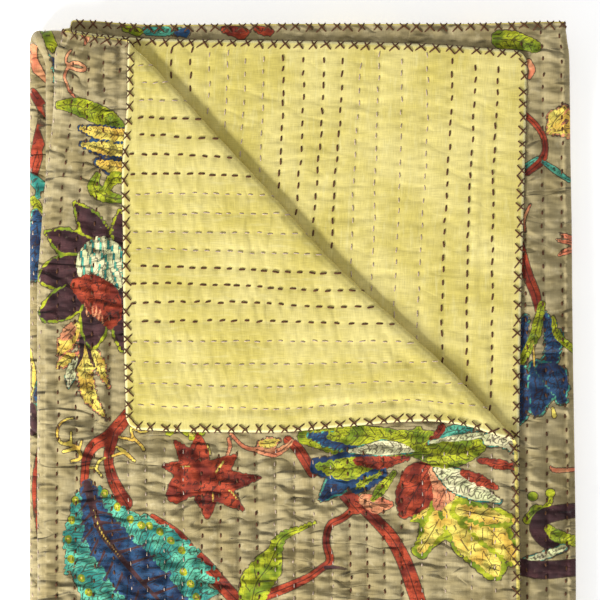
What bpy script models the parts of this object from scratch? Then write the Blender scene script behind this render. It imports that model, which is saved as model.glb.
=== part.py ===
"""A hand-quilted cotton throw, folded in half twice across its width and then in
thirds along its length, with the corner of its top ply turned back.

The quilt is two cloths, a printed face and a plain back, sewn together with rows of
running stitch. Each is cut flat in the quilt's own plane (u across the width, v along
the length, w out of the face) and then every point is laid into the folded bundle.
Sizes are millimetres until the meshes are written, with +X to the right across the
bundle, +Y towards the quilt's open end and +Z up.
"""

import math

import bmesh
import bpy
import numpy as np

# The quilt laid flat.
WIDTH = 1270.0
LENGTH = 1780.0
CORNER_RADIUS = 9.0
CLOTH = 1.0
BETWEEN_CLOTHS = 0.35
BETWEEN_PLIES = 0.35
PUFF = 0.8
HEM = 7.0

# What follows from them.
HALF_PLY = CLOTH + BETWEEN_CLOTHS / 2
PLY_PITCH = 2 * HALF_PLY + BETWEEN_PLIES
# columns: u, quilting rows counted so far
ROW_PLACES = (
    (-20.0, -1.3),
    (0.0, 0.0),
    (31.0, 2.0),
    (60.5, 4.0),
    (106.0, 8.0),
    (151.0, 12.0),
    (198.0, 16.0),
    (220.0, 18.0),
    (1027.0, 86.0),
    (1062.0, 89.0),
    (1099.0, 92.0),
    (1149.0, 96.0),
    (1174.0, 98.0),
    (1205.0, 100.0),
    (1251.0, 103.0),
    (WIDTH, 104.2),
    (WIDTH + 20.0, 105.5),
)
WIDE_NOSE = 1.5 * PLY_PITCH
TIGHT_NOSE = 0.5 * PLY_PITCH
TURN_INNER = 1.5
TURN_MIDDLE = TURN_INNER + WIDE_NOSE

# Each slab is one cross-section of four plies, met in this order from edge A to edge B:
# the top ply, round the wide left fold to the bottom ply, round the right fold to the
# third ply, round the inner left fold to the second ply.
TOP_PLY = 297.0
BOTTOM_PLY = 327.0
THIRD_PLY = 324.0
WIDE_ARC = math.pi * WIDE_NOSE
TIGHT_ARC = math.pi * TIGHT_NOSE
WIDE_FOLD_AT = TOP_PLY
BOTTOM_AT = WIDE_FOLD_AT + WIDE_ARC
RIGHT_FOLD_AT = BOTTOM_AT + BOTTOM_PLY
THIRD_AT = RIGHT_FOLD_AT + TIGHT_ARC
INNER_FOLD_AT = THIRD_AT + THIRD_PLY
SECOND_AT = INNER_FOLD_AT + TIGHT_ARC
INNER_FOLD_INSET = 2.0
SPARE_FROM = 222.0

# The three slabs, top, middle and bottom, and the two turns between them.
TURN_ARC = math.pi * TURN_MIDDLE
UPPER_TURN_Y = -7.0
BOTTOM_SHORT = 5.0
SLAB = (LENGTH - 2 * TURN_ARC - UPPER_TURN_Y + BOTTOM_SHORT) / 3
FAR_TURN_AT = SLAB
MIDDLE_AT = FAR_TURN_AT + TURN_ARC
UPPER_TURN_AT = MIDDLE_AT + SLAB + UPPER_TURN_Y
BOTTOM_SLAB_AT = UPPER_TURN_AT + TURN_ARC
BOTTOM_TURN_Z = HALF_PLY + 2 * WIDE_NOSE + TURN_INNER
TOP_TURN_Z = BOTTOM_TURN_Z + 2 * WIDE_NOSE + 2 * TURN_INNER

# Where the folds and free edges lie across the bundle, along the quilt.
# columns: v, wide left fold, right fold
SIDES = (
    (0.0, 20.5, 335.5),
    (12.0, 16.2, 337.0),
    (40.0, 15.5, 337.6),
    (70.0, 13.0, 338.0),
    (96.0, 9.8, 338.5),
    (127.0, 7.4, 339.0),
    (160.0, 5.2, 339.2),
    (350.0, 5.4, 341.5),
    (SLAB - 36.0, 5.0, 341.0),
    (SLAB, 6.5, 339.5),
    (MIDDLE_AT, 8.5, 337.5),
    (MIDDLE_AT + 36.0, 10.0, 336.0),
    (UPPER_TURN_AT - 14.0, 10.3, 333.8),
    (UPPER_TURN_AT - 8.0, 9.2, 333.4),
    (UPPER_TURN_AT, 5.4, 333.0),
    (UPPER_TURN_AT + 9.0, 1.3, 331.8),
    (BOTTOM_SLAB_AT, 0.0, 330.5),
    (BOTTOM_SLAB_AT + 30.0, 0.0, 328.0),
    (LENGTH, 0.0, 328.0),
)
# columns: v, edge A (top ply), edge B (second ply)
FREE_EDGES = (
    (0.0, 303.5, 310.6),
    (100.0, 303.5, 308.5),
    (165.0, 304.0, 306.8),
    (245.0, 304.5, 305.6),
    (350.0, 306.0, 305.0),
    (SLAB, 305.0, 305.0),
    (MIDDLE_AT, 305.0, 305.0),
    (LENGTH, 300.0, 302.0),
)
# How far the open end of each ply stands out past its mean line.
# columns: u, stands out
OPEN_END = (
    (0.0, -8.0),
    (60.0, -6.5),
    (120.0, -5.0),
    (180.0, -1.5),
    (225.0, -3.5),
    (246.0, -6.5),
    (268.0, -2.2),
    (WIDE_FOLD_AT, 2.5),
    (BOTTOM_AT, 4.6),
    (BOTTOM_AT + 160.0, 5.6),
    (RIGHT_FOLD_AT, 8.0),
    (THIRD_AT, 8.6),
    (THIRD_AT + 70.0, 7.2),
    (THIRD_AT + 175.0, 7.2),
    (THIRD_AT + 270.0, 6.6),
    (INNER_FOLD_AT, 9.5),
    (SECOND_AT, 3.0),
    (SECOND_AT + 60.0, -2.4),
    (SECOND_AT + 160.0, -3.7),
    (SECOND_AT + 235.0, -5.6),
    (WIDTH, -9.3),
)
OPEN_END_REACH = 150.0
# How far edge A is drawn in along the turned-back corner.
# columns: v, drawn in
EDGE_A = (
    (0.0, 5.0),
    (45.0, 3.8),
    (95.0, 3.9),
    (145.0, 8.0),
    (180.0, 10.8),
    (208.0, 11.5),
    (228.0, 12.0),
    (244.0, 6.0),
    (262.0, 0.0),
    (LENGTH, 0.0),
)
EDGE_A_REACH = 60.0

# The turned-back corner of the top ply: its fold runs from the open end to edge A.
CORNER_FOLD_START = (253.6, 0.0)
CORNER_FOLD_END = (0.0, 256.0)
CORNER_NOSE = 1.55
CORNER_ARC = math.pi * CORNER_NOSE
# How far the fold bows towards the middle of the bundle.
# columns: share of the fold's length, bow
CORNER_BOW = (
    (0.0, 0.0),
    (0.12, -3.6),
    (0.25, -1.8),
    (0.4, 0.0),
    (0.55, 2.7),
    (0.7, 0.6),
    (0.85, -1.5),
    (1.0, 0.0),
)
CORNER_BOW_REACH = 45.0
CORNER_ROOM = 265.0
CORNER_TRIM_REACH = 40.0

# Where the quilting is puffed: the printed side but for the part under the corner, and
# the plain side of the corner and of the second ply past the fold above it.
UNDER_CORNER_U = 255.0
UNDER_CORNER_V = 256.5
STRIP_WIDTH = 23.0
EDGES_APART = 5.0
REVEAL_FROM = 5.0
RAMP = 4.0
TURN_FADE = 12.0

# Past the free edges only every other ply goes on, so the right side sinks.
SINK_RIM = 3.0
SINK_WIDTH = 29.0
SINK_DEPTH = 9.5
SINK_ABOVE_Z = 10.5
SINK_FROM_Y = -12.0
SINK_TO_Y = -85.0

# The bundle is a little fuller in some places than in others.
# columns: x, y, radius, fuller by (share of the height)
FULLNESS = (
    (60.0, -330.0, 230.0, 0.035),
    (270.0, -520.0, 250.0, 0.030),
)

# How finely the cloths are cut.
WIDE_NOSE_STEPS = 6
TIGHT_NOSE_STEPS = 4
TURN_STEPS = 6
CORNER_STEPS = 4
CORNER_CROSS_STEPS = 18
CORNER_NEAR = 60.0
ROW_SHARES = (0.0, 0.3, 0.7)
ROW_SAMPLES = 4000
MEAN_LEFT = 10.0
MEAN_EDGE = 305.0
MEAN_RIGHT = 336.0
PLY_X = (82.0, 156.0, 230.0)
STRIP_X = (306.0, 313.0, 320.0, 327.0)
SLAB_Y = (HEM, 30.0, 85.0, 160.0, 350.0)
SINK_CUTS_Y = (48.0, 66.0)
EDGE_A_CUTS = (CORNER_ROOM, 254.0, 244.0, 234.0, 222.0, 208.0, 180.0, 145.0, 120.0, 95.0, 45.0)
CORNER_INSETS = (3.0, CORNER_RADIUS)
CORNER_BLOCK = 60.0
CUT_TOLERANCE = 0.001
SHARP_ANGLE = 50.0
METRES = 0.001

# Colours of the two cloths, as linear red, green and blue.
PRINT_GROUND = (0.36, 0.29, 0.17, 1.0)
PLAIN_YELLOW = (0.77, 0.66, 0.21, 1.0)
COTTON_ROUGHNESS = 0.85


def through(rows, at, column):
    """A smooth curve through one column of a table, read at the given places."""
    places = np.array([row[0] for row in rows])
    values = np.array([row[column] for row in rows])
    rises = np.diff(values) / np.diff(places)
    both = rises[:-1] * rises[1:]
    slopes = np.zeros(len(places))
    slopes[1:-1] = np.where(both > 0, 2 * both / np.where(both > 0, rises[:-1] + rises[1:], 1), 0)
    at = np.clip(at, places[0], places[-1])
    after = np.clip(np.searchsorted(places, at, side="right"), 1, len(places) - 1)
    before = after - 1
    step = places[after] - places[before]
    share = (at - places[before]) / step
    rest = 1 - share
    return (
        values[before] * (1 + 2 * share) * rest**2
        + values[after] * (3 - 2 * share) * share**2
        + slopes[before] * step * share * rest**2
        - slopes[after] * step * share**2 * rest
    )


def eased(share):
    """0 below 0, 1 above 1 and a smooth rise between."""
    share = np.clip(share, 0.0, 1.0)
    return share * share * (3 - 2 * share)


def row_count(u):
    """Counts the quilting rows across the width; they are sewn a little unevenly."""
    return through(ROW_PLACES, u, 1)


def channel(u):
    """The quilting's puffed channel: 0 on a row of stitches, 1 midway between two."""
    return np.sqrt(np.abs(np.sin(np.pi * row_count(u))))


def rounded_corners(u, v):
    """Draws the points near the quilt's four corners in to a quarter circle."""
    from_side = np.minimum(u, WIDTH - u)
    from_end = np.minimum(v, LENGTH - v)
    across = np.clip(1 - from_side / CORNER_RADIUS, 0, 1)
    along = np.clip(1 - from_end / CORNER_RADIUS, 0, 1)
    move_u = CORNER_RADIUS * across * (1 - np.sqrt(1 - along**2 / 2))
    move_v = CORNER_RADIUS * along * (1 - np.sqrt(1 - across**2 / 2))
    u = u + np.where(u < WIDTH / 2, move_u, -move_u)
    v = v + np.where(v < LENGTH / 2, move_v, -move_v)
    return u, v


def trimmed(u, v):
    """The flat quilt's real outline: rounded corners and edges a little uneven."""
    new_u, new_v = rounded_corners(u, v)
    new_v = new_v - through(OPEN_END, u, 1) * eased(1 - v / OPEN_END_REACH)
    new_u = new_u + through(EDGE_A, v, 1) * eased(1 - u / EDGE_A_REACH)
    return new_u, new_v


def corner_fold(u, v):
    """Where a point of the top ply is by the corner's fold: along it and past it."""
    start = np.array(CORNER_FOLD_START)
    run = np.array(CORNER_FOLD_END) - start
    reach = np.hypot(*run)
    along = run / reach
    past = np.array((-along[1], along[0]))
    past = past if past[0] < 0 else -past
    from_start = np.stack([u - start[0], v - start[1]], -1)
    return from_start @ along, from_start @ past, along, past, reach


def turned_back(u, v, w):
    """Turns the corner back: its place in the top ply's plane, its rise above the
    ply's middle, and how far it bows with the fold."""
    s, t, along, past, reach = corner_fold(u, v)
    trim = np.stack(trimmed(u, v), -1) - np.stack([u, v], -1)
    turn = np.clip(t / CORNER_NOSE, 0, np.pi)
    shift = (CORNER_NOSE - w) * np.sin(turn)
    shift = np.where(t > CORNER_ARC, CORNER_ARC - t, shift)
    shift = np.where(t <= 0, t, shift)
    rise = CORNER_NOSE - (CORNER_NOSE - w) * np.cos(turn)
    rise = np.where(t <= 0, w, rise)
    before = eased(-t / CORNER_TRIM_REACH)
    behind = eased((t - CORNER_ARC) / CORNER_TRIM_REACH)
    s = s + trim @ along
    shift = shift + trim @ past * (before - behind)
    new_u = CORNER_FOLD_START[0] + s * along[0] + shift * past[0]
    new_v = CORNER_FOLD_START[1] + s * along[1] + shift * past[1]
    bow = through(CORNER_BOW, s / reach, 1) * np.exp(-((shift / CORNER_BOW_REACH) ** 2))
    return new_u, new_v, rise, bow * past[0], bow * past[1]


def across_slab(u, v, w):
    """Lays the width into the four plies: x, and the height above the bottom ply."""
    left = through(SIDES, v, 1) + WIDE_NOSE + HALF_PLY
    right = through(SIDES, v, 2) - TIGHT_NOSE - HALF_PLY
    inner = left + INNER_FOLD_INSET
    edge_a = through(FREE_EDGES, v, 1)
    edge_b = through(FREE_EDGES, v, 2)
    spare = TOP_PLY - (edge_a - left)
    wide = np.pi / 2 + (u - WIDE_FOLD_AT) / WIDE_NOSE
    round_right = -np.pi / 2 + (u - RIGHT_FOLD_AT) / TIGHT_NOSE
    tight = 3 * np.pi / 2 - (u - INNER_FOLD_AT) / TIGHT_NOSE
    middle = WIDE_NOSE
    parts = [
        u < WIDE_FOLD_AT,
        u < BOTTOM_AT,
        u < RIGHT_FOLD_AT,
        u < THIRD_AT,
        u < INNER_FOLD_AT,
        u < SECOND_AT,
    ]
    x = np.select(
        parts,
        [
            edge_a - u + spare * np.clip((u - SPARE_FROM) / (TOP_PLY - SPARE_FROM), 0, 1),
            left + (WIDE_NOSE + w) * np.cos(wide),
            left + (right - left) * (u - BOTTOM_AT) / BOTTOM_PLY,
            right + (TIGHT_NOSE + w) * np.cos(round_right),
            right + (inner - right) * (u - THIRD_AT) / THIRD_PLY,
            inner + (TIGHT_NOSE - w) * np.cos(tight),
        ],
        inner + (edge_b - inner) * (u - SECOND_AT) / (WIDTH - SECOND_AT),
    )
    height = np.select(
        parts,
        [
            2 * WIDE_NOSE + w,
            middle + (WIDE_NOSE + w) * np.sin(wide),
            -w,
            TIGHT_NOSE + (TIGHT_NOSE + w) * np.sin(round_right),
            PLY_PITCH + w,
            middle + (TIGHT_NOSE - w) * np.sin(tight),
        ],
        2 * PLY_PITCH - w,
    )
    return x, height


def along_slabs(v, height):
    """Lays the length into the three slabs: y and z for a height within the slab."""
    from_far = TURN_INNER + height
    from_upper = TURN_INNER + 2 * WIDE_NOSE - height
    far_turn = np.clip((v - FAR_TURN_AT) / TURN_MIDDLE, 0, np.pi)
    upper_turn = np.clip((v - UPPER_TURN_AT) / TURN_MIDDLE, 0, np.pi)
    parts = [v < FAR_TURN_AT, v < MIDDLE_AT, v < UPPER_TURN_AT, v < BOTTOM_SLAB_AT]
    y = np.select(
        parts,
        [
            -v,
            -SLAB - from_far * np.sin(far_turn),
            -SLAB + (v - MIDDLE_AT),
            UPPER_TURN_Y + from_upper * np.sin(upper_turn),
        ],
        UPPER_TURN_Y - (v - BOTTOM_SLAB_AT),
    )
    z = np.select(
        parts,
        [
            TOP_TURN_Z + from_far,
            TOP_TURN_Z + from_far * np.cos(far_turn),
            TOP_TURN_Z - from_far,
            BOTTOM_TURN_Z + from_upper * np.cos(upper_turn),
        ],
        BOTTOM_TURN_Z - from_upper,
    )
    return y, z


def settled(v, x, y, z):
    """Lets the right side sink and the bundle fill unevenly; the underside stays flat."""
    sink_from = through(SIDES, v, 2) - SINK_RIM - SINK_WIDTH
    sunk = eased((x - sink_from) / SINK_WIDTH)
    sunk = sunk * eased((y - SINK_FROM_Y) / (SINK_TO_Y - SINK_FROM_Y))
    z = z - np.where(z > SINK_ABOVE_Z, SINK_DEPTH * sunk, 0.0)
    fuller = 1.0
    for place_x, place_y, radius, share in FULLNESS:
        fuller = fuller + share * np.exp(-((x - place_x) ** 2 + (y - place_y) ** 2) / radius**2)
    return x, y, z * fuller


def laid(u, v, w):
    """Folds points of the flat quilt into the bundle."""
    on_top = (u < WIDE_FOLD_AT) & (v < FAR_TURN_AT)
    new_u, new_v, rise, bow_x, bow_y = turned_back(u, v, w)
    trim_u, trim_v = trimmed(u, v)
    u = np.where(on_top, new_u, trim_u)
    v = np.where(on_top, new_v, trim_v)
    w = np.where(on_top, rise, w)
    x, height = across_slab(u, v, w)
    y, z = along_slabs(v, height)
    x = x + np.where(on_top, bow_x, 0.0)
    y = y + np.where(on_top, bow_y, 0.0)
    return settled(v, x, y, z)


def past_corner_fold(u, v):
    """How far a point of the top ply lies past the corner's fold."""
    return corner_fold(u, v)[1]


def past_reveal(u, v):
    """How far a point of the second ply lies past the fold above it, so in sight."""
    return past_corner_fold(WIDTH - EDGES_APART - u, v)


def off_the_hems(u, v):
    """0 at the quilt's sewn edges and 1 past the hem."""
    from_side = np.minimum(u, WIDTH - u)
    return eased(from_side / HEM) * eased(v / HEM)


def face_puff(u, v):
    """Where the printed side is in sight from above, and so puffed."""
    beside_corner = np.maximum(
        eased((u - UNDER_CORNER_U) / RAMP), eased((v - UNDER_CORNER_V) / RAMP)
    )
    top = np.where(u < WIDE_FOLD_AT, beside_corner, 0.0)
    strip = np.where(u > THIRD_AT, eased((THIRD_AT + STRIP_WIDTH - u) / RAMP), 0.0)
    before_turn = eased((SLAB - v) / TURN_FADE)
    return (top + strip) * before_turn * off_the_hems(u, v)


def back_puff(u, v):
    """Where the plain side is in sight from above, and so puffed."""
    corner = eased((past_corner_fold(u, v) - CORNER_ARC) / RAMP)
    reveal = eased((past_reveal(u, v) - REVEAL_FROM) / RAMP)
    shown = np.where(u < WIDE_FOLD_AT, corner, np.where(u > SECOND_AT, reveal, 0.0))
    return np.where(v < FAR_TURN_AT, shown, 0.0) * off_the_hems(u, v)


def steps(start, end, count):
    """Evenly spaced places from start to end."""
    return [start + (end - start) * n / count for n in range(count + 1)]


def width_stations():
    """The lines along the quilt that every face is cut at. Plies above each other are
    cut at the same places, so that their facets nest."""
    top = [TOP_PLY * (MEAN_EDGE - x) / (MEAN_EDGE - MEAN_LEFT) for x in PLY_X]
    bottom = [BOTTOM_AT + x - MEAN_LEFT for x in PLY_X + STRIP_X]
    third = [THIRD_AT + MEAN_RIGHT - x for x in PLY_X + STRIP_X]
    second = [SECOND_AT + x - MEAN_LEFT for x in PLY_X]
    return sorted(
        top
        + steps(WIDE_FOLD_AT, BOTTOM_AT, WIDE_NOSE_STEPS)
        + bottom
        + steps(RIGHT_FOLD_AT, THIRD_AT, TIGHT_NOSE_STEPS)
        + third
        + steps(INNER_FOLD_AT, SECOND_AT, TIGHT_NOSE_STEPS)
        + second
    )


def length_stations():
    """The lines across the quilt that every face is cut at, the same in each slab."""
    top = [*SLAB_Y, SLAB - TURN_FADE]
    middle = [MIDDLE_AT + SLAB - y for y in SLAB_Y]
    bottom = [BOTTOM_SLAB_AT + UPPER_TURN_Y + y for y in SLAB_Y if y > -SINK_TO_Y]
    return sorted(
        top
        + steps(FAR_TURN_AT, MIDDLE_AT, TURN_STEPS)
        + middle
        + steps(UPPER_TURN_AT, BOTTOM_SLAB_AT, TURN_STEPS)
        + bottom
    )


def row_stations():
    """The lines of the quilting rows, and those that round the channels between."""
    fine = np.linspace(0.0, WIDTH, ROW_SAMPLES)
    counted = row_count(fine)
    rows = range(math.ceil(counted[0]), math.floor(counted[-1]) + 1)
    wanted = [row + share for row in rows for share in ROW_SHARES]
    return np.interp(wanted, counted, fine)


def flat_cloth(inner, outer):
    """One cloth as a flat closed sheet, between two heights out of the quilt's middle."""
    mesh = bmesh.new()
    bmesh.ops.create_cube(mesh, size=1.0)
    for vert in mesh.verts:
        vert.co.x = (vert.co.x + 0.5) * WIDTH
        vert.co.y = (vert.co.y + 0.5) * LENGTH
        vert.co.z = max(inner, outer) if vert.co.z > 0 else min(inner, outer)
    return mesh


def cut(mesh, point, normal, faces):
    """Cuts these faces where the plane crosses them; their neighbours stay joined."""
    edges = {edge for face in faces for edge in face.edges}
    verts = {vert for edge in edges for vert in edge.verts}
    bmesh.ops.bisect_plane(
        mesh,
        geom=[*faces, *edges, *verts],
        dist=CUT_TOLERANCE,
        plane_co=point,
        plane_no=normal,
    )


def within(mesh, low, high, outer=None):
    """The faces centred between two flat corners, or only the outer ones of them."""
    found = []
    for face in mesh.faces:
        centre = face.calc_center_bounds()
        inside = low[0] < centre.x < high[0] and low[1] < centre.y < high[1]
        if inside and (outer is None or abs(centre.z - outer) < CUT_TOLERANCE):
            found.append(face)
    return found


def cut_corners(mesh):
    """Cuts the quilt's four corners finely enough to be rounded."""
    for end in (0.0, LENGTH):
        for side in (0.0, WIDTH):
            for inset in CORNER_INSETS:
                low = (side - CORNER_BLOCK, end - CORNER_BLOCK)
                high = (side + CORNER_BLOCK, end + CORNER_BLOCK)
                cut(mesh, (abs(side - inset), 0, 0), (1, 0, 0), within(mesh, low, high))
            for inset in CORNER_INSETS:
                low = (side - CORNER_RADIUS, end - CORNER_BLOCK)
                high = (side + CORNER_RADIUS, end + CORNER_BLOCK)
                cut(mesh, (0, abs(end - inset), 0), (0, 1, 0), within(mesh, low, high))


def cut_grid(mesh):
    """Cuts the sheet at the stations of its width and length, and more finely where
    the right side sinks and along the turned-back edge."""
    for u in width_stations():
        cut(mesh, (u, 0, 0), (1, 0, 0), mesh.faces[:])
    for v in length_stations():
        cut(mesh, (0, v, 0), (0, 1, 0), mesh.faces[:])
    for y in SINK_CUTS_Y:
        for v in (y, MIDDLE_AT + SLAB - y):
            low = (BOTTOM_AT + STRIP_X[0] - MEAN_LEFT, v - SLAB_Y[2])
            high = (THIRD_AT + MEAN_RIGHT - STRIP_X[0], v + SLAB_Y[2])
            cut(mesh, (0, v, 0), (0, 1, 0), within(mesh, low, high))
    low, high = (-1, SLAB_Y[2]), (EDGE_A_REACH, CORNER_ROOM)
    cut(mesh, (EDGE_A_REACH / 2, 0, 0), (1, 0, 0), within(mesh, low, high))
    for v in EDGE_A_CUTS:
        cut(mesh, (0, v, 0), (0, 1, 0), within(mesh, low, (EDGE_A_REACH / 2, CORNER_ROOM)))
    cut_corners(mesh)


def near_corner_fold(mesh):
    """The top ply's faces on both sides of the corner's fold."""
    found = []
    for face in within(mesh, (-1, -1), (WIDE_FOLD_AT, CORNER_ROOM)):
        centre = face.calc_center_bounds()
        past = past_corner_fold(np.array(centre.x), np.array(centre.y))
        if abs(past) < CORNER_NEAR:
            found.append(face)
    return found


def cut_corner_fold(mesh, outer, puffed):
    """Cuts the top ply round the nose of its turned-back corner, and across it."""
    _, _, along, past, reach = corner_fold(np.zeros(1), np.zeros(1))
    start = CORNER_FOLD_START
    for at in steps(0.0, CORNER_ARC, CORNER_STEPS):
        point = (start[0] + past[0] * at, start[1] + past[1] * at, 0)
        region = within(mesh, (-1, -1), (WIDE_FOLD_AT, CORNER_ROOM))
        cut(mesh, point, (past[0], past[1], 0), region)
    if puffed:
        at = CORNER_ARC + RAMP
        point = (start[0] + past[0] * at, start[1] + past[1] * at, 0)
        region = within(mesh, (-1, -1), (WIDE_FOLD_AT, CORNER_ROOM), outer)
        cut(mesh, point, (past[0], past[1], 0), region)
    for at in steps(0.0, reach, CORNER_CROSS_STEPS)[1:-1]:
        point = (start[0] + along[0] * at, start[1] + along[1] * at, 0)
        cut(mesh, point, (along[0], along[1], 0), near_corner_fold(mesh))


def cut_reveal(mesh, outer):
    """Cuts the second ply along the fold above it."""
    _, _, _, past, _ = corner_fold(np.zeros(1), np.zeros(1))
    start_u = WIDTH - EDGES_APART - CORNER_FOLD_START[0]
    for at in (REVEAL_FROM, REVEAL_FROM + RAMP):
        point = (start_u - past[0] * at, CORNER_FOLD_START[1] + past[1] * at, 0)
        region = within(mesh, (SECOND_AT, -1), (WIDTH + 1, CORNER_ROOM), outer)
        cut(mesh, point, (-past[0], past[1], 0), region)


def cut_face_windows(mesh, outer):
    """Cuts the printed side along the turned-back corner and the right-hand strip."""
    for u in (UNDER_CORNER_U, UNDER_CORNER_U + RAMP):
        cut(mesh, (u, 0, 0), (1, 0, 0), within(mesh, (0, -1), (WIDE_FOLD_AT, SLAB), outer))
    for v in (UNDER_CORNER_V, UNDER_CORNER_V + RAMP):
        cut(mesh, (0, v, 0), (0, 1, 0), within(mesh, (-1, 0), (WIDE_FOLD_AT, SLAB), outer))
    for u in (THIRD_AT + STRIP_WIDTH - RAMP, THIRD_AT + STRIP_WIDTH):
        cut(mesh, (u, 0, 0), (1, 0, 0), within(mesh, (THIRD_AT, -1), (INNER_FOLD_AT, SLAB), outer))


def cut_rows(mesh, outer, puff):
    """Cuts the quilting's channels into the faces that are puffed."""
    puffed = mesh.faces.layers.int.new("puffed")
    for face in mesh.faces:
        centre = face.calc_center_bounds()
        on_side = abs(centre.z - outer) < CUT_TOLERANCE
        face[puffed] = int(on_side and puff(np.array(centre.x), np.array(centre.y)) > 0)
    for u in row_stations():
        faces = [face for face in mesh.faces if face[puffed]]
        cut(mesh, (u, 0, 0), (1, 0, 0), faces)


def fold_up(mesh, outer, puff):
    """Lays each point of the flat sheet into the bundle, puffed where it shows."""
    bmesh.ops.triangulate(mesh, faces=[face for face in mesh.faces if len(face.verts) > 4])
    flat = np.array([vert.co for vert in mesh.verts], float)
    u, v, w = flat.T
    on_side = np.abs(w - outer) < CUT_TOLERANCE
    w = w + np.where(on_side, np.sign(outer) * PUFF * channel(u) * puff(u, v), 0.0)
    return np.stack(laid(u, v, w), 1)


def cotton(name, colour):
    """A plain cotton finish."""
    material = bpy.data.materials.new(name)
    material.use_nodes = True
    shader = material.node_tree.nodes["Principled BSDF"]
    shader.inputs["Base Color"].default_value = colour
    shader.inputs["Roughness"].default_value = COTTON_ROUGHNESS
    shader.inputs["Metallic"].default_value = 0.0
    return material


def make_face_cloth():
    """The printed cotton panel."""
    mesh = flat_cloth(BETWEEN_CLOTHS / 2, HALF_PLY)
    cut_grid(mesh)
    cut_corner_fold(mesh, HALF_PLY, puffed=False)
    cut_face_windows(mesh, HALF_PLY)
    cut_rows(mesh, HALF_PLY, face_puff)
    return mesh, fold_up(mesh, HALF_PLY, face_puff)


def make_back_cloth():
    """The plain cotton panel."""
    mesh = flat_cloth(-BETWEEN_CLOTHS / 2, -HALF_PLY)
    cut_grid(mesh)
    cut_corner_fold(mesh, -HALF_PLY, puffed=True)
    cut_reveal(mesh, -HALF_PLY)
    cut_rows(mesh, -HALF_PLY, back_puff)
    return mesh, fold_up(mesh, -HALF_PLY, back_puff)


def add_object(name, mesh, places, centre, material):
    """Writes one folded cloth as an object, its origin under the bundle's middle."""
    for vert, place in zip(mesh.verts, places):
        vert.co = (place - centre) * METRES
    bmesh.ops.triangulate(mesh, faces=mesh.faces[:], quad_method="SHORT_EDGE")
    data = bpy.data.meshes.new(name)
    mesh.to_mesh(data)
    mesh.free()
    data.materials.append(material)
    data.shade_smooth()
    data.set_sharp_from_angle(angle=math.radians(SHARP_ANGLE))
    bpy.context.collection.objects.link(bpy.data.objects.new(name, data))


def main():
    for old in list(bpy.data.objects):
        bpy.data.objects.remove(old)
    face_mesh, face_places = make_face_cloth()
    back_mesh, back_places = make_back_cloth()
    places = np.concatenate([face_places, back_places])
    centre = (places.min(0) + places.max(0)) / 2
    centre[2] = places[:, 2].min()
    add_object("face_cloth", face_mesh, face_places, centre, cotton("printed_cotton", PRINT_GROUND))
    add_object("back_cloth", back_mesh, back_places, centre, cotton("plain_cotton", PLAIN_YELLOW))


main()
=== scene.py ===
"""The looks of the folded quilted throw: its two cloths with their quilting, creases and
print, and its sewing thread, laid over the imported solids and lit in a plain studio.

Everything is shaped on the quilt laid flat, in millimetres (u across the width, v along
the length, w out of the printed face), and laid() then folds it as the solids are folded.
"""

import bisect
import math

import bpy
import numpy as np
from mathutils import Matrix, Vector


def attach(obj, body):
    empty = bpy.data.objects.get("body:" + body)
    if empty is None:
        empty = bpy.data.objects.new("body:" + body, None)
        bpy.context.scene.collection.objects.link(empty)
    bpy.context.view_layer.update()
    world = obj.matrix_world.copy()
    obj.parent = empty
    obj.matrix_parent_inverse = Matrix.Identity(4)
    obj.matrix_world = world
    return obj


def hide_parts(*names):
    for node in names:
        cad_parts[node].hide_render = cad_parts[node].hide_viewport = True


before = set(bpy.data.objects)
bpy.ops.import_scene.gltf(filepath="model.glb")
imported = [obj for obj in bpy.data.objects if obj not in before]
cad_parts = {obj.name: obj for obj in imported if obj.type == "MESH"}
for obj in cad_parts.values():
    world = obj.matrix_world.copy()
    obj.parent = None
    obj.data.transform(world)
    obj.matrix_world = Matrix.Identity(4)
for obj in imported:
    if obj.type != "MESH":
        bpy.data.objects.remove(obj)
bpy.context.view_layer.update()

# The quilt laid flat, as the solids have it.
WIDTH = 1270.0
LENGTH = 1780.0
CORNER_RADIUS = 9.0
ROW_PITCH = 11.9
CLOTH = 1.0
BETWEEN_CLOTHS = 0.35
BETWEEN_PLIES = 0.35
HEM = 7.0
HEM_RAMP = 3.0
HALF_PLY = CLOTH + BETWEEN_CLOTHS / 2
PLY_PITCH = 2 * HALF_PLY + BETWEEN_PLIES
# columns: u, quilting rows counted so far
ROW_PLACES = (
    (-20.0, -1.3), (0.0, 0.0), (31.0, 2.0), (60.5, 4.0), (106.0, 8.0), (151.0, 12.0), (198.0, 16.0),
    (220.0, 18.0), (1027.0, 86.0), (1062.0, 89.0), (1099.0, 92.0), (1149.0, 96.0), (1174.0, 98.0),
    (1205.0, 100.0), (1251.0, 103.0), (WIDTH, 104.2), (WIDTH + 20.0, 105.5),
)
WIDE_NOSE = 1.5 * PLY_PITCH
TIGHT_NOSE = 0.5 * PLY_PITCH
TURN_INNER = 1.5
TURN_MIDDLE = TURN_INNER + WIDE_NOSE

# The four plies of each slab and the folds between them.
TOP_PLY = 297.0
BOTTOM_PLY = 327.0
THIRD_PLY = 324.0
WIDE_ARC = math.pi * WIDE_NOSE
TIGHT_ARC = math.pi * TIGHT_NOSE
WIDE_FOLD_AT = TOP_PLY
BOTTOM_AT = WIDE_FOLD_AT + WIDE_ARC
RIGHT_FOLD_AT = BOTTOM_AT + BOTTOM_PLY
THIRD_AT = RIGHT_FOLD_AT + TIGHT_ARC
INNER_FOLD_AT = THIRD_AT + THIRD_PLY
SECOND_AT = INNER_FOLD_AT + TIGHT_ARC
INNER_FOLD_INSET = 2.0
SPARE_FROM = 222.0

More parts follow.
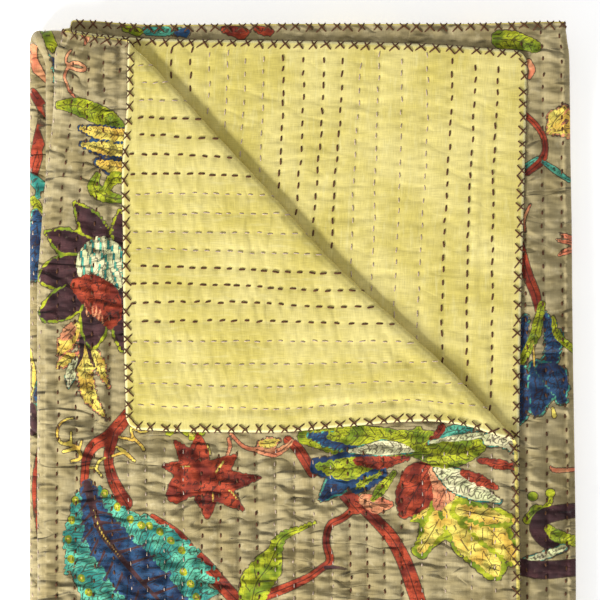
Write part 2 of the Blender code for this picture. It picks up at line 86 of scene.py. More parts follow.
# The three slabs, top, middle and bottom, and the two turns between them.
TURN_ARC = math.pi * TURN_MIDDLE
UPPER_TURN_Y = -7.0
BOTTOM_SHORT = 5.0
SLAB = (LENGTH - 2 * TURN_ARC - UPPER_TURN_Y + BOTTOM_SHORT) / 3
FAR_TURN_AT = SLAB
MIDDLE_AT = FAR_TURN_AT + TURN_ARC
UPPER_TURN_AT = MIDDLE_AT + SLAB + UPPER_TURN_Y
BOTTOM_SLAB_AT = UPPER_TURN_AT + TURN_ARC
BOTTOM_TURN_Z = HALF_PLY + 2 * WIDE_NOSE + TURN_INNER
TOP_TURN_Z = BOTTOM_TURN_Z + 2 * WIDE_NOSE + 2 * TURN_INNER

# columns: v, wide left fold, right fold
SIDES = (
    (0.0, 20.5, 335.5), (12.0, 16.2, 337.0), (40.0, 15.5, 337.6), (70.0, 13.0, 338.0),
    (96.0, 9.8, 338.5), (127.0, 7.4, 339.0), (160.0, 5.2, 339.2), (350.0, 5.4, 341.5),
    (SLAB - 36.0, 5.0, 341.0), (SLAB, 6.5, 339.5), (MIDDLE_AT, 8.5, 337.5),
    (MIDDLE_AT + 36.0, 10.0, 336.0), (UPPER_TURN_AT - 14.0, 10.3, 333.8),
    (UPPER_TURN_AT - 8.0, 9.2, 333.4), (UPPER_TURN_AT, 5.4, 333.0),
    (UPPER_TURN_AT + 9.0, 1.3, 331.8), (BOTTOM_SLAB_AT, 0.0, 330.5),
    (BOTTOM_SLAB_AT + 30.0, 0.0, 328.0), (LENGTH, 0.0, 328.0),
)
# columns: v, edge A (top ply), edge B (second ply)
FREE_EDGES = (
    (0.0, 303.5, 310.6), (100.0, 303.5, 308.5), (165.0, 304.0, 306.8), (245.0, 304.5, 305.6),
    (350.0, 306.0, 305.0), (SLAB, 305.0, 305.0), (MIDDLE_AT, 305.0, 305.0), (LENGTH, 300.0, 302.0),
)
# columns: u, how far the open end stands out
OPEN_END = (
    (0.0, -8.0), (60.0, -6.5), (120.0, -5.0), (180.0, -1.5), (225.0, -3.5), (246.0, -6.5),
    (268.0, -2.2), (WIDE_FOLD_AT, 2.5), (BOTTOM_AT, 4.6), (BOTTOM_AT + 160.0, 5.6),
    (RIGHT_FOLD_AT, 8.0), (THIRD_AT, 8.6), (THIRD_AT + 70.0, 7.2), (THIRD_AT + 175.0, 7.2),
    (THIRD_AT + 270.0, 6.6), (INNER_FOLD_AT, 9.5), (SECOND_AT, 3.0), (SECOND_AT + 60.0, -2.4),
    (SECOND_AT + 160.0, -3.7), (SECOND_AT + 235.0, -5.6), (WIDTH, -9.3),
)
OPEN_END_REACH = 150.0
# columns: v, how far edge A is drawn in
EDGE_A = (
    (0.0, 5.0), (45.0, 3.8), (95.0, 3.9), (145.0, 8.0), (180.0, 10.8), (208.0, 11.5), (228.0, 12.0),
    (244.0, 6.0), (262.0, 0.0), (LENGTH, 0.0),
)
EDGE_A_REACH = 60.0
CORNER_FOLD_START = (253.6, 0.0)
CORNER_FOLD_END = (0.0, 256.0)
CORNER_NOSE = 1.55
CORNER_ARC = math.pi * CORNER_NOSE
# columns: share of the fold's length, bow
CORNER_BOW = (
    (0.0, 0.0), (0.12, -3.6), (0.25, -1.8), (0.4, 0.0), (0.55, 2.7), (0.7, 0.6), (0.85, -1.5),
    (1.0, 0.0),
)
CORNER_BOW_REACH = 45.0
CORNER_TRIM_REACH = 40.0
UNDER_CORNER_U = 255.0
UNDER_CORNER_V = 256.5
EDGES_APART = 5.0
REVEAL_FROM = 5.0
SINK_RIM = 3.0
SINK_WIDTH = 29.0
SINK_DEPTH = 9.5
SINK_ABOVE_Z = 10.5
SINK_FROM_Y = -12.0
SINK_TO_Y = -85.0
# columns: x, y, radius, fuller by (share of the height)
FULLNESS = (
    (60.0, -330.0, 230.0, 0.035), (270.0, -520.0, 250.0, 0.030),
)
BUNDLE_CENTRE = (170.75, -293.49, 0.0)
METRES = 0.001

# How the cloth puckers: lengths in millimetres, and shares and powers without a unit.
STRIP_WIDTH = 40.0
RAMP = 4.0
TURN_FADE = 12.0
GROOVE = 0.55
PINCH = 0.26
FACE_CRINKLE = 2.8
BACK_CRINKLE = 0.3
FACE_PUFF = 0.55
BACK_PUFF = 0.4
HEM_STEP = 0.3
BILLOW_POWER = 0.8
SLANT = 0.1
LEAN_BY = 7.0
CLOSE_LEAN_BY = 2.6
CREASE_WANDER = 0.8
FINE_SHARE = 0.9
MIDDLE_SHARE = 0.85
LONG_SHARE = 0.3
LONG_SHARPNESS = 2.4
PATCHES_FROM = 0.75
PATCHES_BY = 0.45
OUT_OF_SIGHT_LOW = 0.15
OUT_OF_SIGHT_CRINKLE = 0.1
IN_SIGHT_HIGH = 0.1
PINCH_REACH = 3.2
# Smooth seeded fields that make the puckers uneven.
# columns: field: millimetres from hill to hill across the width and along it, seed
WANDERINGS = {
    "lean": (60.0, 70.0, 21),
    "close lean": (15.0, 17.0, 23),
    "fine": (ROW_PITCH, 4.6, 22),
    "middle": (2.1 * ROW_PITCH, 7.0, 31),
    "long": (52.0, 11.0, 41),
    "patches": (70.0, 60.0, 51),
    "crease": (14.0, 14.0, 5),
}
SIDE_RIM = 1.0
END_RIM = 0.45
RIM_RADIUS = 1.5
STITCH_PITCH = 8.0
STITCH_LENGTH = 4.1
STEP_RANGE = (0.92, 1.08)
ROW_SEED = 11

# How finely the cloths are cut: stations to a quilting row, and steps to a block's length.
FINE = (9, 18)
MEDIUM = (5, 8)
LONG = (5, 5)
UNDERSIDE = (3, 4)
COARSE = (1, 2)
BLOCK_ROWS = 2
BLOCKS_TO_SLAB = 24
TURN_STEPS = 9
FINE_TO_V = 372.0
RIM_STATIONS = (0.25, 0.7, 1.3, 2.4)
SLIVER = 0.2
CLEAR_OF_FOLDS = 4.0
NEAR_CORNER_FOLD = 30.0
NEAR_TURN = 200.0


def through(rows, at, column):
    """A smooth curve through one column of a table, read at the given places."""
    places = np.array([row[0] for row in rows])
    values = np.array([row[column] for row in rows])
    rises = np.diff(values) / np.diff(places)
    both = rises[:-1] * rises[1:]
    slopes = np.zeros(len(places))
    slopes[1:-1] = np.where(both > 0, 2 * both / np.where(both > 0, rises[:-1] + rises[1:], 1), 0)
    at = np.clip(at, places[0], places[-1])
    after = np.clip(np.searchsorted(places, at, side="right"), 1, len(places) - 1)
    before = after - 1
    step = places[after] - places[before]
    share = (at - places[before]) / step
    rest = 1 - share
    return (
        values[before] * (1 + 2 * share) * rest**2
        + values[after] * (3 - 2 * share) * share**2
        + slopes[before] * step * share * rest**2
        - slopes[after] * step * share**2 * rest
    )


def eased(share):
    """0 below 0, 1 above 1 and a smooth rise between."""
    share = np.clip(share, 0.0, 1.0)
    return share * share * (3 - 2 * share)


def row_count(u):
    """Counts the quilting rows across the width; they are sewn a little unevenly."""
    return through(ROW_PLACES, u, 1)


ROW_SAMPLES = np.linspace(-20.0, WIDTH + 20.0, 8000)
ROW_COUNTS = row_count(ROW_SAMPLES)


def row_place(counted):
    """Where across the width a row's count is reached."""
    return np.interp(counted, ROW_COUNTS, ROW_SAMPLES)


def channel(u):
    """The quilting's puffed channel: 0 on a row of stitches, 1 midway between two."""
    return np.sqrt(np.abs(np.sin(np.pi * row_count(u))))


def rounded_corners(u, v):
    """Draws the points near the quilt's four corners in to a quarter circle."""
    from_side = np.minimum(u, WIDTH - u)
    from_end = np.minimum(v, LENGTH - v)
    across = np.clip(1 - from_side / CORNER_RADIUS, 0, 1)
    along = np.clip(1 - from_end / CORNER_RADIUS, 0, 1)
    move_u = CORNER_RADIUS * across * (1 - np.sqrt(1 - along**2 / 2))
    move_v = CORNER_RADIUS * along * (1 - np.sqrt(1 - across**2 / 2))
    u = u + np.where(u < WIDTH / 2, move_u, -move_u)
    v = v + np.where(v < LENGTH / 2, move_v, -move_v)
    return u, v


def trimmed(u, v):
    """The flat quilt's real outline: rounded corners and edges a little uneven."""
    new_u, new_v = rounded_corners(u, v)
    new_v = new_v - through(OPEN_END, u, 1) * eased(1 - v / OPEN_END_REACH)
    new_u = new_u + through(EDGE_A, v, 1) * eased(1 - u / EDGE_A_REACH)
    return new_u, new_v


def corner_fold(u, v):
    """Where a point of the top ply is by the corner's fold: along it and past it."""
    start = np.array(CORNER_FOLD_START)
    run = np.array(CORNER_FOLD_END) - start
    reach = np.hypot(*run)
    along = run / reach
    past = np.array((-along[1], along[0]))
    past = past if past[0] < 0 else -past
    from_start = np.stack([u - start[0], v - start[1]], -1)
    return from_start @ along, from_start @ past, along, past, reach


def turned_back(u, v, w):
    """Turns the corner back: its place in the top ply's plane, its rise above the
    ply's middle, and how far it bows with the fold."""
    s, t, along, past, reach = corner_fold(u, v)
    trim = np.stack(trimmed(u, v), -1) - np.stack([u, v], -1)
    turn = np.clip(t / CORNER_NOSE, 0, np.pi)
    shift = (CORNER_NOSE - w) * np.sin(turn)
    shift = np.where(t > CORNER_ARC, CORNER_ARC - t, shift)
    shift = np.where(t <= 0, t, shift)
    rise = CORNER_NOSE - (CORNER_NOSE - w) * np.cos(turn)
    rise = np.where(t <= 0, w, rise)
    before = eased(-t / CORNER_TRIM_REACH)
    behind = eased((t - CORNER_ARC) / CORNER_TRIM_REACH)
    s = s + trim @ along
    shift = shift + trim @ past * (before - behind)
    new_u = CORNER_FOLD_START[0] + s * along[0] + shift * past[0]
    new_v = CORNER_FOLD_START[1] + s * along[1] + shift * past[1]
    bow = through(CORNER_BOW, s / reach, 1) * np.exp(-((shift / CORNER_BOW_REACH) ** 2))
    return new_u, new_v, rise, bow * past[0], bow * past[1]


def across_slab(u, v, w):
    """Lays the width into the four plies: x, and the height above the bottom ply."""
    left = through(SIDES, v, 1) + WIDE_NOSE + HALF_PLY
    right = through(SIDES, v, 2) - TIGHT_NOSE - HALF_PLY
    inner = left + INNER_FOLD_INSET
    edge_a = through(FREE_EDGES, v, 1)
    edge_b = through(FREE_EDGES, v, 2)
    spare = TOP_PLY - (edge_a - left)
    wide = np.pi / 2 + (u - WIDE_FOLD_AT) / WIDE_NOSE
    round_right = -np.pi / 2 + (u - RIGHT_FOLD_AT) / TIGHT_NOSE
    tight = 3 * np.pi / 2 - (u - INNER_FOLD_AT) / TIGHT_NOSE
    middle = WIDE_NOSE
    parts = [
        u < WIDE_FOLD_AT,
        u < BOTTOM_AT,
        u < RIGHT_FOLD_AT,
        u < THIRD_AT,
        u < INNER_FOLD_AT,
        u < SECOND_AT,
    ]
    x = np.select(
        parts,
        [
            edge_a - u + spare * np.clip((u - SPARE_FROM) / (TOP_PLY - SPARE_FROM), 0, 1),
            left + (WIDE_NOSE + w) * np.cos(wide),
            left + (right - left) * (u - BOTTOM_AT) / BOTTOM_PLY,
            right + (TIGHT_NOSE + w) * np.cos(round_right),
            right + (inner - right) * (u - THIRD_AT) / THIRD_PLY,
            inner + (TIGHT_NOSE - w) * np.cos(tight),
        ],
        inner + (edge_b - inner) * (u - SECOND_AT) / (WIDTH - SECOND_AT),
    )
    height = np.select(
        parts,
        [
            2 * WIDE_NOSE + w,
            middle + (WIDE_NOSE + w) * np.sin(wide),
            -w,
            TIGHT_NOSE + (TIGHT_NOSE + w) * np.sin(round_right),
            PLY_PITCH + w,
            middle + (TIGHT_NOSE - w) * np.sin(tight),
        ],
        2 * PLY_PITCH - w,
    )
    return x, height


def along_slabs(v, height):
    """Lays the length into the three slabs: y and z for a height within the slab."""
    from_far = TURN_INNER + height
    from_upper = TURN_INNER + 2 * WIDE_NOSE - height
    far_turn = np.clip((v - FAR_TURN_AT) / TURN_MIDDLE, 0, np.pi)
    upper_turn = np.clip((v - UPPER_TURN_AT) / TURN_MIDDLE, 0, np.pi)
    parts = [v < FAR_TURN_AT, v < MIDDLE_AT, v < UPPER_TURN_AT, v < BOTTOM_SLAB_AT]
    y = np.select(
        parts,
        [
            -v,
            -SLAB - from_far * np.sin(far_turn),
            -SLAB + (v - MIDDLE_AT),
            UPPER_TURN_Y + from_upper * np.sin(upper_turn),
        ],
        UPPER_TURN_Y - (v - BOTTOM_SLAB_AT),
    )
    z = np.select(
        parts,
        [
            TOP_TURN_Z + from_far,
            TOP_TURN_Z + from_far * np.cos(far_turn),
            TOP_TURN_Z - from_far,
            BOTTOM_TURN_Z + from_upper * np.cos(upper_turn),
        ],
        BOTTOM_TURN_Z - from_upper,
    )
    return y, z


def settled(v, x, y, z):
    """Lets the right side sink and the bundle fill unevenly; the underside stays flat."""
    sink_from = through(SIDES, v, 2) - SINK_RIM - SINK_WIDTH
    sunk = eased((x - sink_from) / SINK_WIDTH)
    sunk = sunk * eased((y - SINK_FROM_Y) / (SINK_TO_Y - SINK_FROM_Y))
    z = z - np.where(z > SINK_ABOVE_Z, SINK_DEPTH * sunk, 0.0)
    fuller = 1.0
    for place_x, place_y, radius, share in FULLNESS:
        fuller = fuller + share * np.exp(-((x - place_x) ** 2 + (y - place_y) ** 2) / radius**2)
    return x, y, z * fuller


def laid(flat):
    """Folds points (u, v, w) of the flat quilt into the bundle, in metres."""
    u, v, w = np.asarray(flat, float).reshape(-1, 3).T
    on_top = (u < WIDE_FOLD_AT) & (v < FAR_TURN_AT)
    new_u, new_v, rise, bow_x, bow_y = turned_back(u, v, w)
    trim_u, trim_v = trimmed(u, v)
    u = np.where(on_top, new_u, trim_u)
    v = np.where(on_top, new_v, trim_v)
    w = np.where(on_top, rise, w)
    x, height = across_slab(u, v, w)
    y, z = along_slabs(v, height)
    x = x + np.where(on_top, bow_x, 0.0)
    y = y + np.where(on_top, bow_y, 0.0)
    return (np.stack(settled(v, x, y, z), 1) - BUNDLE_CENTRE) * METRES


def past_corner_fold(u, v):
    """How far a point of the top ply lies past the corner's fold."""
    return corner_fold(u, v)[1]


def past_reveal(u, v):
    """How far a point of the second ply lies past the fold above it, so in sight."""
    return past_corner_fold(WIDTH - EDGES_APART - u, v)


def from_edge(u, v):
    """How far a point is from the quilt's nearest sewn edge."""
    return np.minimum(np.minimum(u, WIDTH - u), np.minimum(v, LENGTH - v))


def face_in_sight(u, v):
    """1 where the printed side is in sight from above and has room to puff."""
    beside_corner = np.maximum(
        eased((u - UNDER_CORNER_U) / RAMP), eased((v - UNDER_CORNER_V) / RAMP)
    )
    top = np.where(u < WIDE_FOLD_AT, beside_corner, 0.0)
    third = (u > THIRD_AT) & (u < THIRD_AT + STRIP_WIDTH)
    strip = np.where(third, eased((THIRD_AT + STRIP_WIDTH - 10.0 - u) / RAMP), 0.0)
    return (top + strip) * eased((SLAB - v) / TURN_FADE)


def back_in_sight(u, v):
    """1 where the plain side is in sight from above and has room to puff."""
    corner = eased((past_corner_fold(u, v) - CORNER_ARC) / RAMP)
    reveal = eased((past_reveal(u, v) - REVEAL_FROM) / RAMP)
    shown = np.where(u < WIDE_FOLD_AT, corner, np.where(u > SECOND_AT, reveal, 0.0))
    return np.where(v < FAR_TURN_AT, shown, 0.0)


def wandering(field, u, v, side=0):
    """Smooth seeded hills and hollows between -1 and 1, other ones for each side."""
    cell_u, cell_v, seed = WANDERINGS[field]
    across = u / cell_u + 4.0
    along = v / cell_v + 4.0
    shape = (int(WIDTH / cell_u) + 12, int(LENGTH / cell_v) + 12)
    hills = np.random.default_rng(seed + side).uniform(-1.0, 1.0, shape)
    i = np.clip(np.floor(across).astype(int), 0, shape[0] - 2)
    j = np.clip(np.floor(along).astype(int), 0, shape[1] - 2)
    a = eased(across - i)
    b = eased(along - j)
    near = hills[i, j] * (1 - a) + hills[i + 1, j] * a
    far = hills[i, j + 1] * (1 - a) + hills[i + 1, j + 1] * a
    return near * (1 - b) + far * b


ROW_TOTAL = int(ROW_COUNTS[-1]) + 3
ROW_DICE = np.random.default_rng(ROW_SEED)
ROW_FIRST = ROW_DICE.uniform(0.0, STITCH_PITCH, ROW_TOTAL)
ROW_STEP = STITCH_PITCH * ROW_DICE.uniform(*STEP_RANGE, ROW_TOTAL)

# Pressed creases: on which side, from u, v to u, v, height (below 0 for a furrow), width.
# columns: side, u, v, u, v, height, width
CREASES = (
    (-1, 13.5, 3.0, 15.5, 120.0, -0.55, 2.2), (-1, 15.5, 120.0, 14.0, 175.0, -0.6, 2.4),
    (-1, 14.0, 175.0, 5.0, 232.0, -0.6, 2.6), (-1, 19.0, 20.0, 21.0, 215.0, 0.35, 3.5),
    (-1, 62.0, 166.0, 19.0, 126.0, 0.5, 4.0), (-1, 58.0, 172.0, 24.0, 214.0, -0.4, 3.0),
    (-1, 40.0, 120.0, 32.0, 30.0, -0.25, 5.0), (-1, 1243.0, 40.0, 1243.5, 165.0, -0.45, 2.0),
    (-1, 1240.5, 40.0, 1241.0, 165.0, 0.3, 2.5), (-1, 1233.0, 200.0, 1236.0, 236.0, -0.5, 2.0),
    (-1, 1252.0, 190.0, 1252.5, 236.0, -0.5, 1.8), (-1, 1249.0, 190.0, 1249.5, 236.0, 0.4, 2.2),
    (-1, 1215.0, 205.0, 1243.0, 245.0, -0.5, 2.8), (-1, 1075.0, 34.0, 1262.0, 44.0, -0.3, 3.0),
    (-1, 1108.0, 66.0, 1240.0, 62.0, -0.25, 3.5), (-1, 1140.0, 112.0, 1225.0, 116.0, -0.3, 2.6),
    (-1, 1168.0, 150.0, 1230.0, 146.0, -0.25, 3.0), (1, 262.0, 58.0, 263.0, 12.0, -1.1, 5.5),
    (1, 292.0, 12.0, 258.0, 60.0, -0.4, 3.0), (1, 258.0, 60.0, 252.0, 96.0, -0.5, 3.5),
    (1, 292.0, 196.0, 250.0, 200.0, -0.3, 3.0), (1, 286.0, 262.0, 190.0, 300.0, -0.35, 3.5),
    (1, 210.0, 330.0, 90.0, 338.0, 0.6, 7.0), (1, 128.0, 352.0, 30.0, 356.0, 0.7, 8.0),
    (1, 100.0, 290.0, 6.0, 286.0, -0.6, 4.5), (1, 190.0, 262.0, 120.0, 268.0, -0.6, 4.5),
    (1, 120.0, 268.0, 62.0, 262.0, -0.5, 4.0),
)


def creased(u, v, side):
    """The height of the pressed creases and soft ridges of one side."""
    height = np.zeros(len(u))
    for on_side, u0, v0, u1, v1, rise, width in CREASES:
        if on_side != side:
            continue
        run = np.hypot(u1 - u0, v1 - v0)
        share = ((u - u0) * (u1 - u0) + (v - v0) * (v1 - v0)) / run**2
        clamped = np.clip(share, 0, 1)
        away = np.hypot(u - u0 - clamped * (u1 - u0), v - v0 - clamped * (v1 - v0))
        away = away + CREASE_WANDER * wandering("crease", u, v)
        height += rise * np.exp(-((away / width) ** 2))
    return height


def billow(field, across, along, side):
    """Rounded puffs with sharp valleys between them, from 0 to about 1."""
    return np.abs(wandering(field, across, along, side)) ** BILLOW_POWER


def surface(u, v, side):
    """How far a cloth's outer side stands out of the quilt's middle."""
    seen = face_in_sight(u, v) if side > 0 else back_in_sight(u, v)
    edge = from_edge(u, v)
    off_hem = eased((edge - HEM + HEM_RAMP / 2) / HEM_RAMP)
    puffed = channel(u) * off_hem
    counted = row_count(u)
    row = np.clip(np.rint(counted).astype(int), 0, ROW_TOTAL - 1)
    by_row = np.exp(-(((counted - row) * ROW_PITCH / PINCH_REACH) ** 2))
    beat = np.cos(2 * np.pi * (v - ROW_FIRST[row] - STITCH_LENGTH / 2) / ROW_STEP[row])
    leaning = v + SLANT * u + LEAN_BY * wandering("lean", u, v)
    leaning = leaning + CLOSE_LEAN_BY * wandering("close lean", u, v)
    between = counted * ROW_PITCH
    fine = billow("fine", between + ROW_PITCH / 2, leaning, side)
    middle = billow("middle", between, leaning, side)
    long = 1 - LONG_SHARPNESS * np.abs(wandering("long", u, leaning, side))
    patchy = PATCHES_FROM + PATCHES_BY * wandering("patches", u, v, side)
    strength = patchy * (FACE_CRINKLE if side > 0 else BACK_CRINKLE)
    shares = FINE_SHARE * fine * puffed + MIDDLE_SHARE * middle + LONG_SHARE * long
    crinkle = strength * off_hem * shares
    room = HALF_PLY + HEM_STEP * (1 - off_hem) * seen
    outward = (FACE_PUFF if side > 0 else BACK_PUFF) * puffed + crinkle
    outward = outward + creased(u, v, side) + IN_SIGHT_HIGH
    inward = GROOVE * (puffed - 1) - OUT_OF_SIGHT_LOW
    inward = inward + OUT_OF_SIGHT_CRINKLE * np.minimum(crinkle, 0.0)
    pinched = PINCH * side * beat * by_row * off_hem * (0.45 + 0.55 * seen)
    height = room + seen * outward + (1 - seen) * inward - pinched
    inset = np.clip(edge / RIM_RADIUS, 0, 1)
    return height * np.sqrt(1 - (1 - inset) ** 2)


def spans(places):
    """Neighbouring pairs of a sorted list."""
    return list(zip(places[:-1], places[1:]))


PLIES = (0.0, WIDE_FOLD_AT, BOTTOM_AT, RIGHT_FOLD_AT, THIRD_AT, INNER_FOLD_AT, SECOND_AT, WIDTH)
SLABS = (0.0, FAR_TURN_AT, MIDDLE_AT, UPPER_TURN_AT, BOTTOM_SLAB_AT, LENGTH)


def block_lines_across():
    """The block boundaries across the width: the ply ends and every few rows."""
    lines = []
    for low, high in spans(PLIES):
        rows = np.arange(0, ROW_TOTAL, BLOCK_ROWS)
        inside = [u for u in row_place(rows) if low + CLEAR_OF_FOLDS < u < high - CLEAR_OF_FOLDS]
        lines += [low, *inside]
    return [*lines, WIDTH]


def block_lines_along():
    """The block boundaries along the length: the slab ends and even steps between."""
    lines = []
    for low, high in spans(SLABS):
        count = BLOCKS_TO_SLAB if high - low > 2 * TURN_ARC else 1
        lines += [low + (high - low) * n / count for n in range(count)]
    return [*lines, LENGTH]


def is_nose(u):
    return WIDE_FOLD_AT < u < BOTTOM_AT or RIGHT_FOLD_AT < u < THIRD_AT


def face_fineness(low_u, high_u, low_v, high_v):
    """How finely a block of the printed cloth is cut, by what is seen of it."""
    u = (low_u + high_u) / 2
    v = (low_v + high_v) / 2
    near_turn = UPPER_TURN_AT - NEAR_TURN < v < BOTTOM_SLAB_AT + NEAR_TURN
    if is_nose(u):
        return FINE if v < FINE_TO_V or near_turn else LONG
    if u < WIDE_FOLD_AT and v < MIDDLE_AT:
        if high_u < UNDER_CORNER_U and high_v < UNDER_CORNER_V:
            return LONG if abs(past_corner_fold(u, v)) < NEAR_CORNER_FOLD else COARSE
        return FINE if v < FINE_TO_V else MEDIUM
    if THIRD_AT < u < THIRD_AT + STRIP_WIDTH and v < MIDDLE_AT:
        return FINE if v < FINE_TO_V else MEDIUM
    if BOTTOM_AT < u < RIGHT_FOLD_AT and v > UPPER_TURN_AT:
        return UNDERSIDE if v > BOTTOM_SLAB_AT else MEDIUM
    if low_v < 1 or high_u > WIDTH - 1:
        return LONG
    return COARSE


def back_fineness(low_u, high_u, low_v, high_v):
    """How finely a block of the plain cloth is cut, by what is seen of it."""
    u = (low_u + high_u) / 2
    v = (low_v + high_v) / 2
    if u < WIDE_FOLD_AT and v < UNDER_CORNER_V + 25 and past_corner_fold(u, v) > -25:
        return FINE
    if u > SECOND_AT and v < UNDER_CORNER_V + 15 and past_reveal(u, v) > -30:
        return FINE
    if low_v < 1 or low_u < 1 or high_u > WIDTH - 1:
        return LONG
    return COARSE


def stations_across(low, high, per_row):
    """Where a block is cut across the width; quilting rows always fall on a cut."""
    if high - low < WIDE_ARC + 1 and low in PLIES and high in PLIES:
        count = max(4, math.ceil((high - low) * per_row / ROW_PITCH))
        inside = list(np.linspace(low, high, count + 1)[1:-1])
    else:
        wanted = np.arange(
            math.ceil(row_count(low) * per_row), math.floor(row_count(high) * per_row) + 1
        )
        inside = list(row_place(wanted / per_row))
    if low < 1:
        inside = [u for u in inside if u > RIM_STATIONS[-1]] + list(RIM_STATIONS)
    if high > WIDTH - 1:
        rim = [WIDTH - inset for inset in RIM_STATIONS]
        inside = [u for u in inside if u < rim[-1]] + rim
    return [low, *sorted(u for u in inside if low + SLIVER < u < high - SLIVER), high]


def stations_along(low, high, count):
    """Where a block is cut along the length."""
    if high - low < 2 * TURN_ARC and low in SLABS and high in SLABS:
        count = max(count, TURN_STEPS)
    places = list(np.linspace(low, high, count + 1))
    if low < 1:
        places = [low, *RIM_STATIONS] + [v for v in places if v > RIM_STATIONS[-1] + SLIVER]
    if high > LENGTH - 1:
        rim = sorted(LENGTH - inset for inset in RIM_STATIONS)
        places = [v for v in places if v < rim[0] - SLIVER] + rim + [high]
    return places


def flat_cloth(fineness):
    """A flat sheet of blocks cut to their own fineness and joined edge to edge: the
    points' u and v, and the faces."""
    blocks = []
    on_row = {}
    on_column = {}
    for low_u, high_u in spans(block_lines_across()):
        for low_v, high_v in spans(block_lines_along()):
            per_row, count = fineness(low_u, high_u, low_v, high_v)
            across = stations_across(low_u, high_u, per_row)
            along = stations_along(low_v, high_v, count)
            blocks.append((across, along))
            for v in (low_v, high_v):
                on_row.setdefault(round(v, 4), set()).update(round(u, 4) for u in across)
            for u in (low_u, high_u):
                on_column.setdefault(round(u, 4), set()).update(round(v, 4) for v in along)
    on_row = {v: sorted(us) for v, us in on_row.items()}
    on_column = {u: sorted(vs) for u, vs in on_column.items()}
    numbers = {}
    places = []
    faces = []

    def number(u, v):
        key = (round(u, 4), round(v, 4))
        if key not in numbers:
            numbers[key] = len(places)
            places.append(key)
        return numbers[key]

    def between(lines, low, high):
        low, high = round(low, 4), round(high, 4)
        return lines[bisect.bisect_right(lines, low) : bisect.bisect_left(lines, high)]

    for across, along in blocks:
        last_u, last_v = len(across) - 2, len(along) - 2
        for i, (u0, u1) in enumerate(spans(across)):
            for j, (v0, v1) in enumerate(spans(along)):
                face = [number(u0, v0)]
                if j == 0:
                    face += [number(u, v0) for u in between(on_row[round(v0, 4)], u0, u1)]
                face.append(number(u1, v0))
                if i == last_u:
                    face += [number(u1, v) for v in between(on_column[round(u1, 4)], v0, v1)]
                face.append(number(u1, v1))
                if j == last_v:
                    face += [number(u, v1) for u in between(on_row[round(v1, 4)], u0, u1)[::-1]]
                face.append(number(u0, v1))
                if i == 0:
                    face += [number(u0, v) for v in between(on_column[round(u0, 4)], v0, v1)[::-1]]
                faces.append(face)
    places = np.array(places)
    return places[:, 0], places[:, 1], faces


def add_mesh(name, places, faces, material, smooth=True):
    """Makes a mesh object of one material and links it to the scene."""
    data = bpy.data.meshes.new(name)
    data.from_pydata(places.tolist(), [], faces)
    data.materials.append(material)
    if smooth:
        data.shade_smooth()
    made = bpy.data.objects.new(name, data)
    bpy.context.scene.collection.objects.link(made)
    return made


def keep_field(mesh, name, values):
    """Stores one number for each point, for the materials to read."""
    mesh.attributes.new(name, "FLOAT", "POINT").data.foreach_set("value", values.astype(np.float32))


def keep_place(mesh, u, v):
    """Stores each point's place on the flat cloth."""
    flat = np.stack([u, v, np.zeros(len(u))], 1).astype(np.float32)
    mesh.attributes.new("flat", "FLOAT_VECTOR", "POINT").data.foreach_set("vector", flat.ravel())


# The print. Its inks as sRGB, each with the tone that it shades into.
INKS = {
    "rust": ((186, 74, 44), (118, 40, 28)),
    "lime": ((188, 192, 40), (112, 134, 28)),
    "teal": ((106, 200, 164), (40, 128, 118)),
    "navy": ((44, 84, 122), (26, 48, 82)),
    "purple": ((80, 48, 50), (54, 32, 36)),
    "yellow": ((240, 222, 104), (224, 182, 74)),
    "cream": ((244, 234, 186), (214, 216, 160)),
    "peach": ((238, 168, 118), (212, 122, 86)),
}
FAR = 9.0


class Print:
    """A printed design: for each ink a field in millimetres, above 0 where the ink is,
    and one for the drawn lines inside the shapes, 0 along a line."""

    def __init__(self, u, v):
        self.u = u
        self.v = v
        self.inks = {name: np.full(len(u), -FAR) for name in INKS}
        self.lines = np.full(len(u), FAR)
        self.window = np.arange(len(u))

    def look(self, low_u, high_u, low_v, high_v):
        """Limits what follows to one part of the cloth."""
        seen = (self.u > low_u) & (self.u < high_u) & (self.v > low_v) & (self.v < high_v)
        self.window = np.nonzero(seen)[0]

    def near(self, middle, reach):
        """The points of the window round a place, and where they are from it."""
        du = self.u[self.window] - middle[0]
        dv = self.v[self.window] - middle[1]
        close = np.nonzero(du * du + dv * dv < reach * reach)[0]
        return self.window[close], du[close], dv[close]

    def lay(self, found, ink, inside, lines=None):
        """Prints a shape, given how far inside it each point is, over what is there."""
        for name, field in self.inks.items():
            if name == ink:
                field[found] = np.maximum(field[found], inside)
            else:
                field[found] = np.minimum(field[found], -inside)
        lines = FAR if lines is None else lines
        self.lines[found] = np.where(inside > 0, lines, self.lines[found])


def along_spine(x, y, path, halves):
    """How far inside a shape of given half-widths along a path each point is, how far
    to the side of the path, and how far along it."""
    best = np.full(len(x), -FAR)
    side = np.zeros(len(x))
    along = np.zeros(len(x))
    walked = 0.0
    for (x0, y0), (x1, y1), w0, w1 in zip(path[:-1], path[1:], halves[:-1], halves[1:]):
        run = np.hypot(x1 - x0, y1 - y0)
        share = np.clip(((x - x0) * (x1 - x0) + (y - y0) * (y1 - y0)) / run**2, 0, 1)
        away = np.hypot(x - x0 - share * (x1 - x0), y - y0 - share * (y1 - y0))
        inside = w0 + (w1 - w0) * share - away
        across = ((x - x0) * (y1 - y0) - (y - y0) * (x1 - x0)) / run
        closer = inside > best
        side = np.where(closer, across, side)
        along = np.where(closer, walked + share * run, along)
        best = np.maximum(best, inside)
        walked += run
    return best, side, along


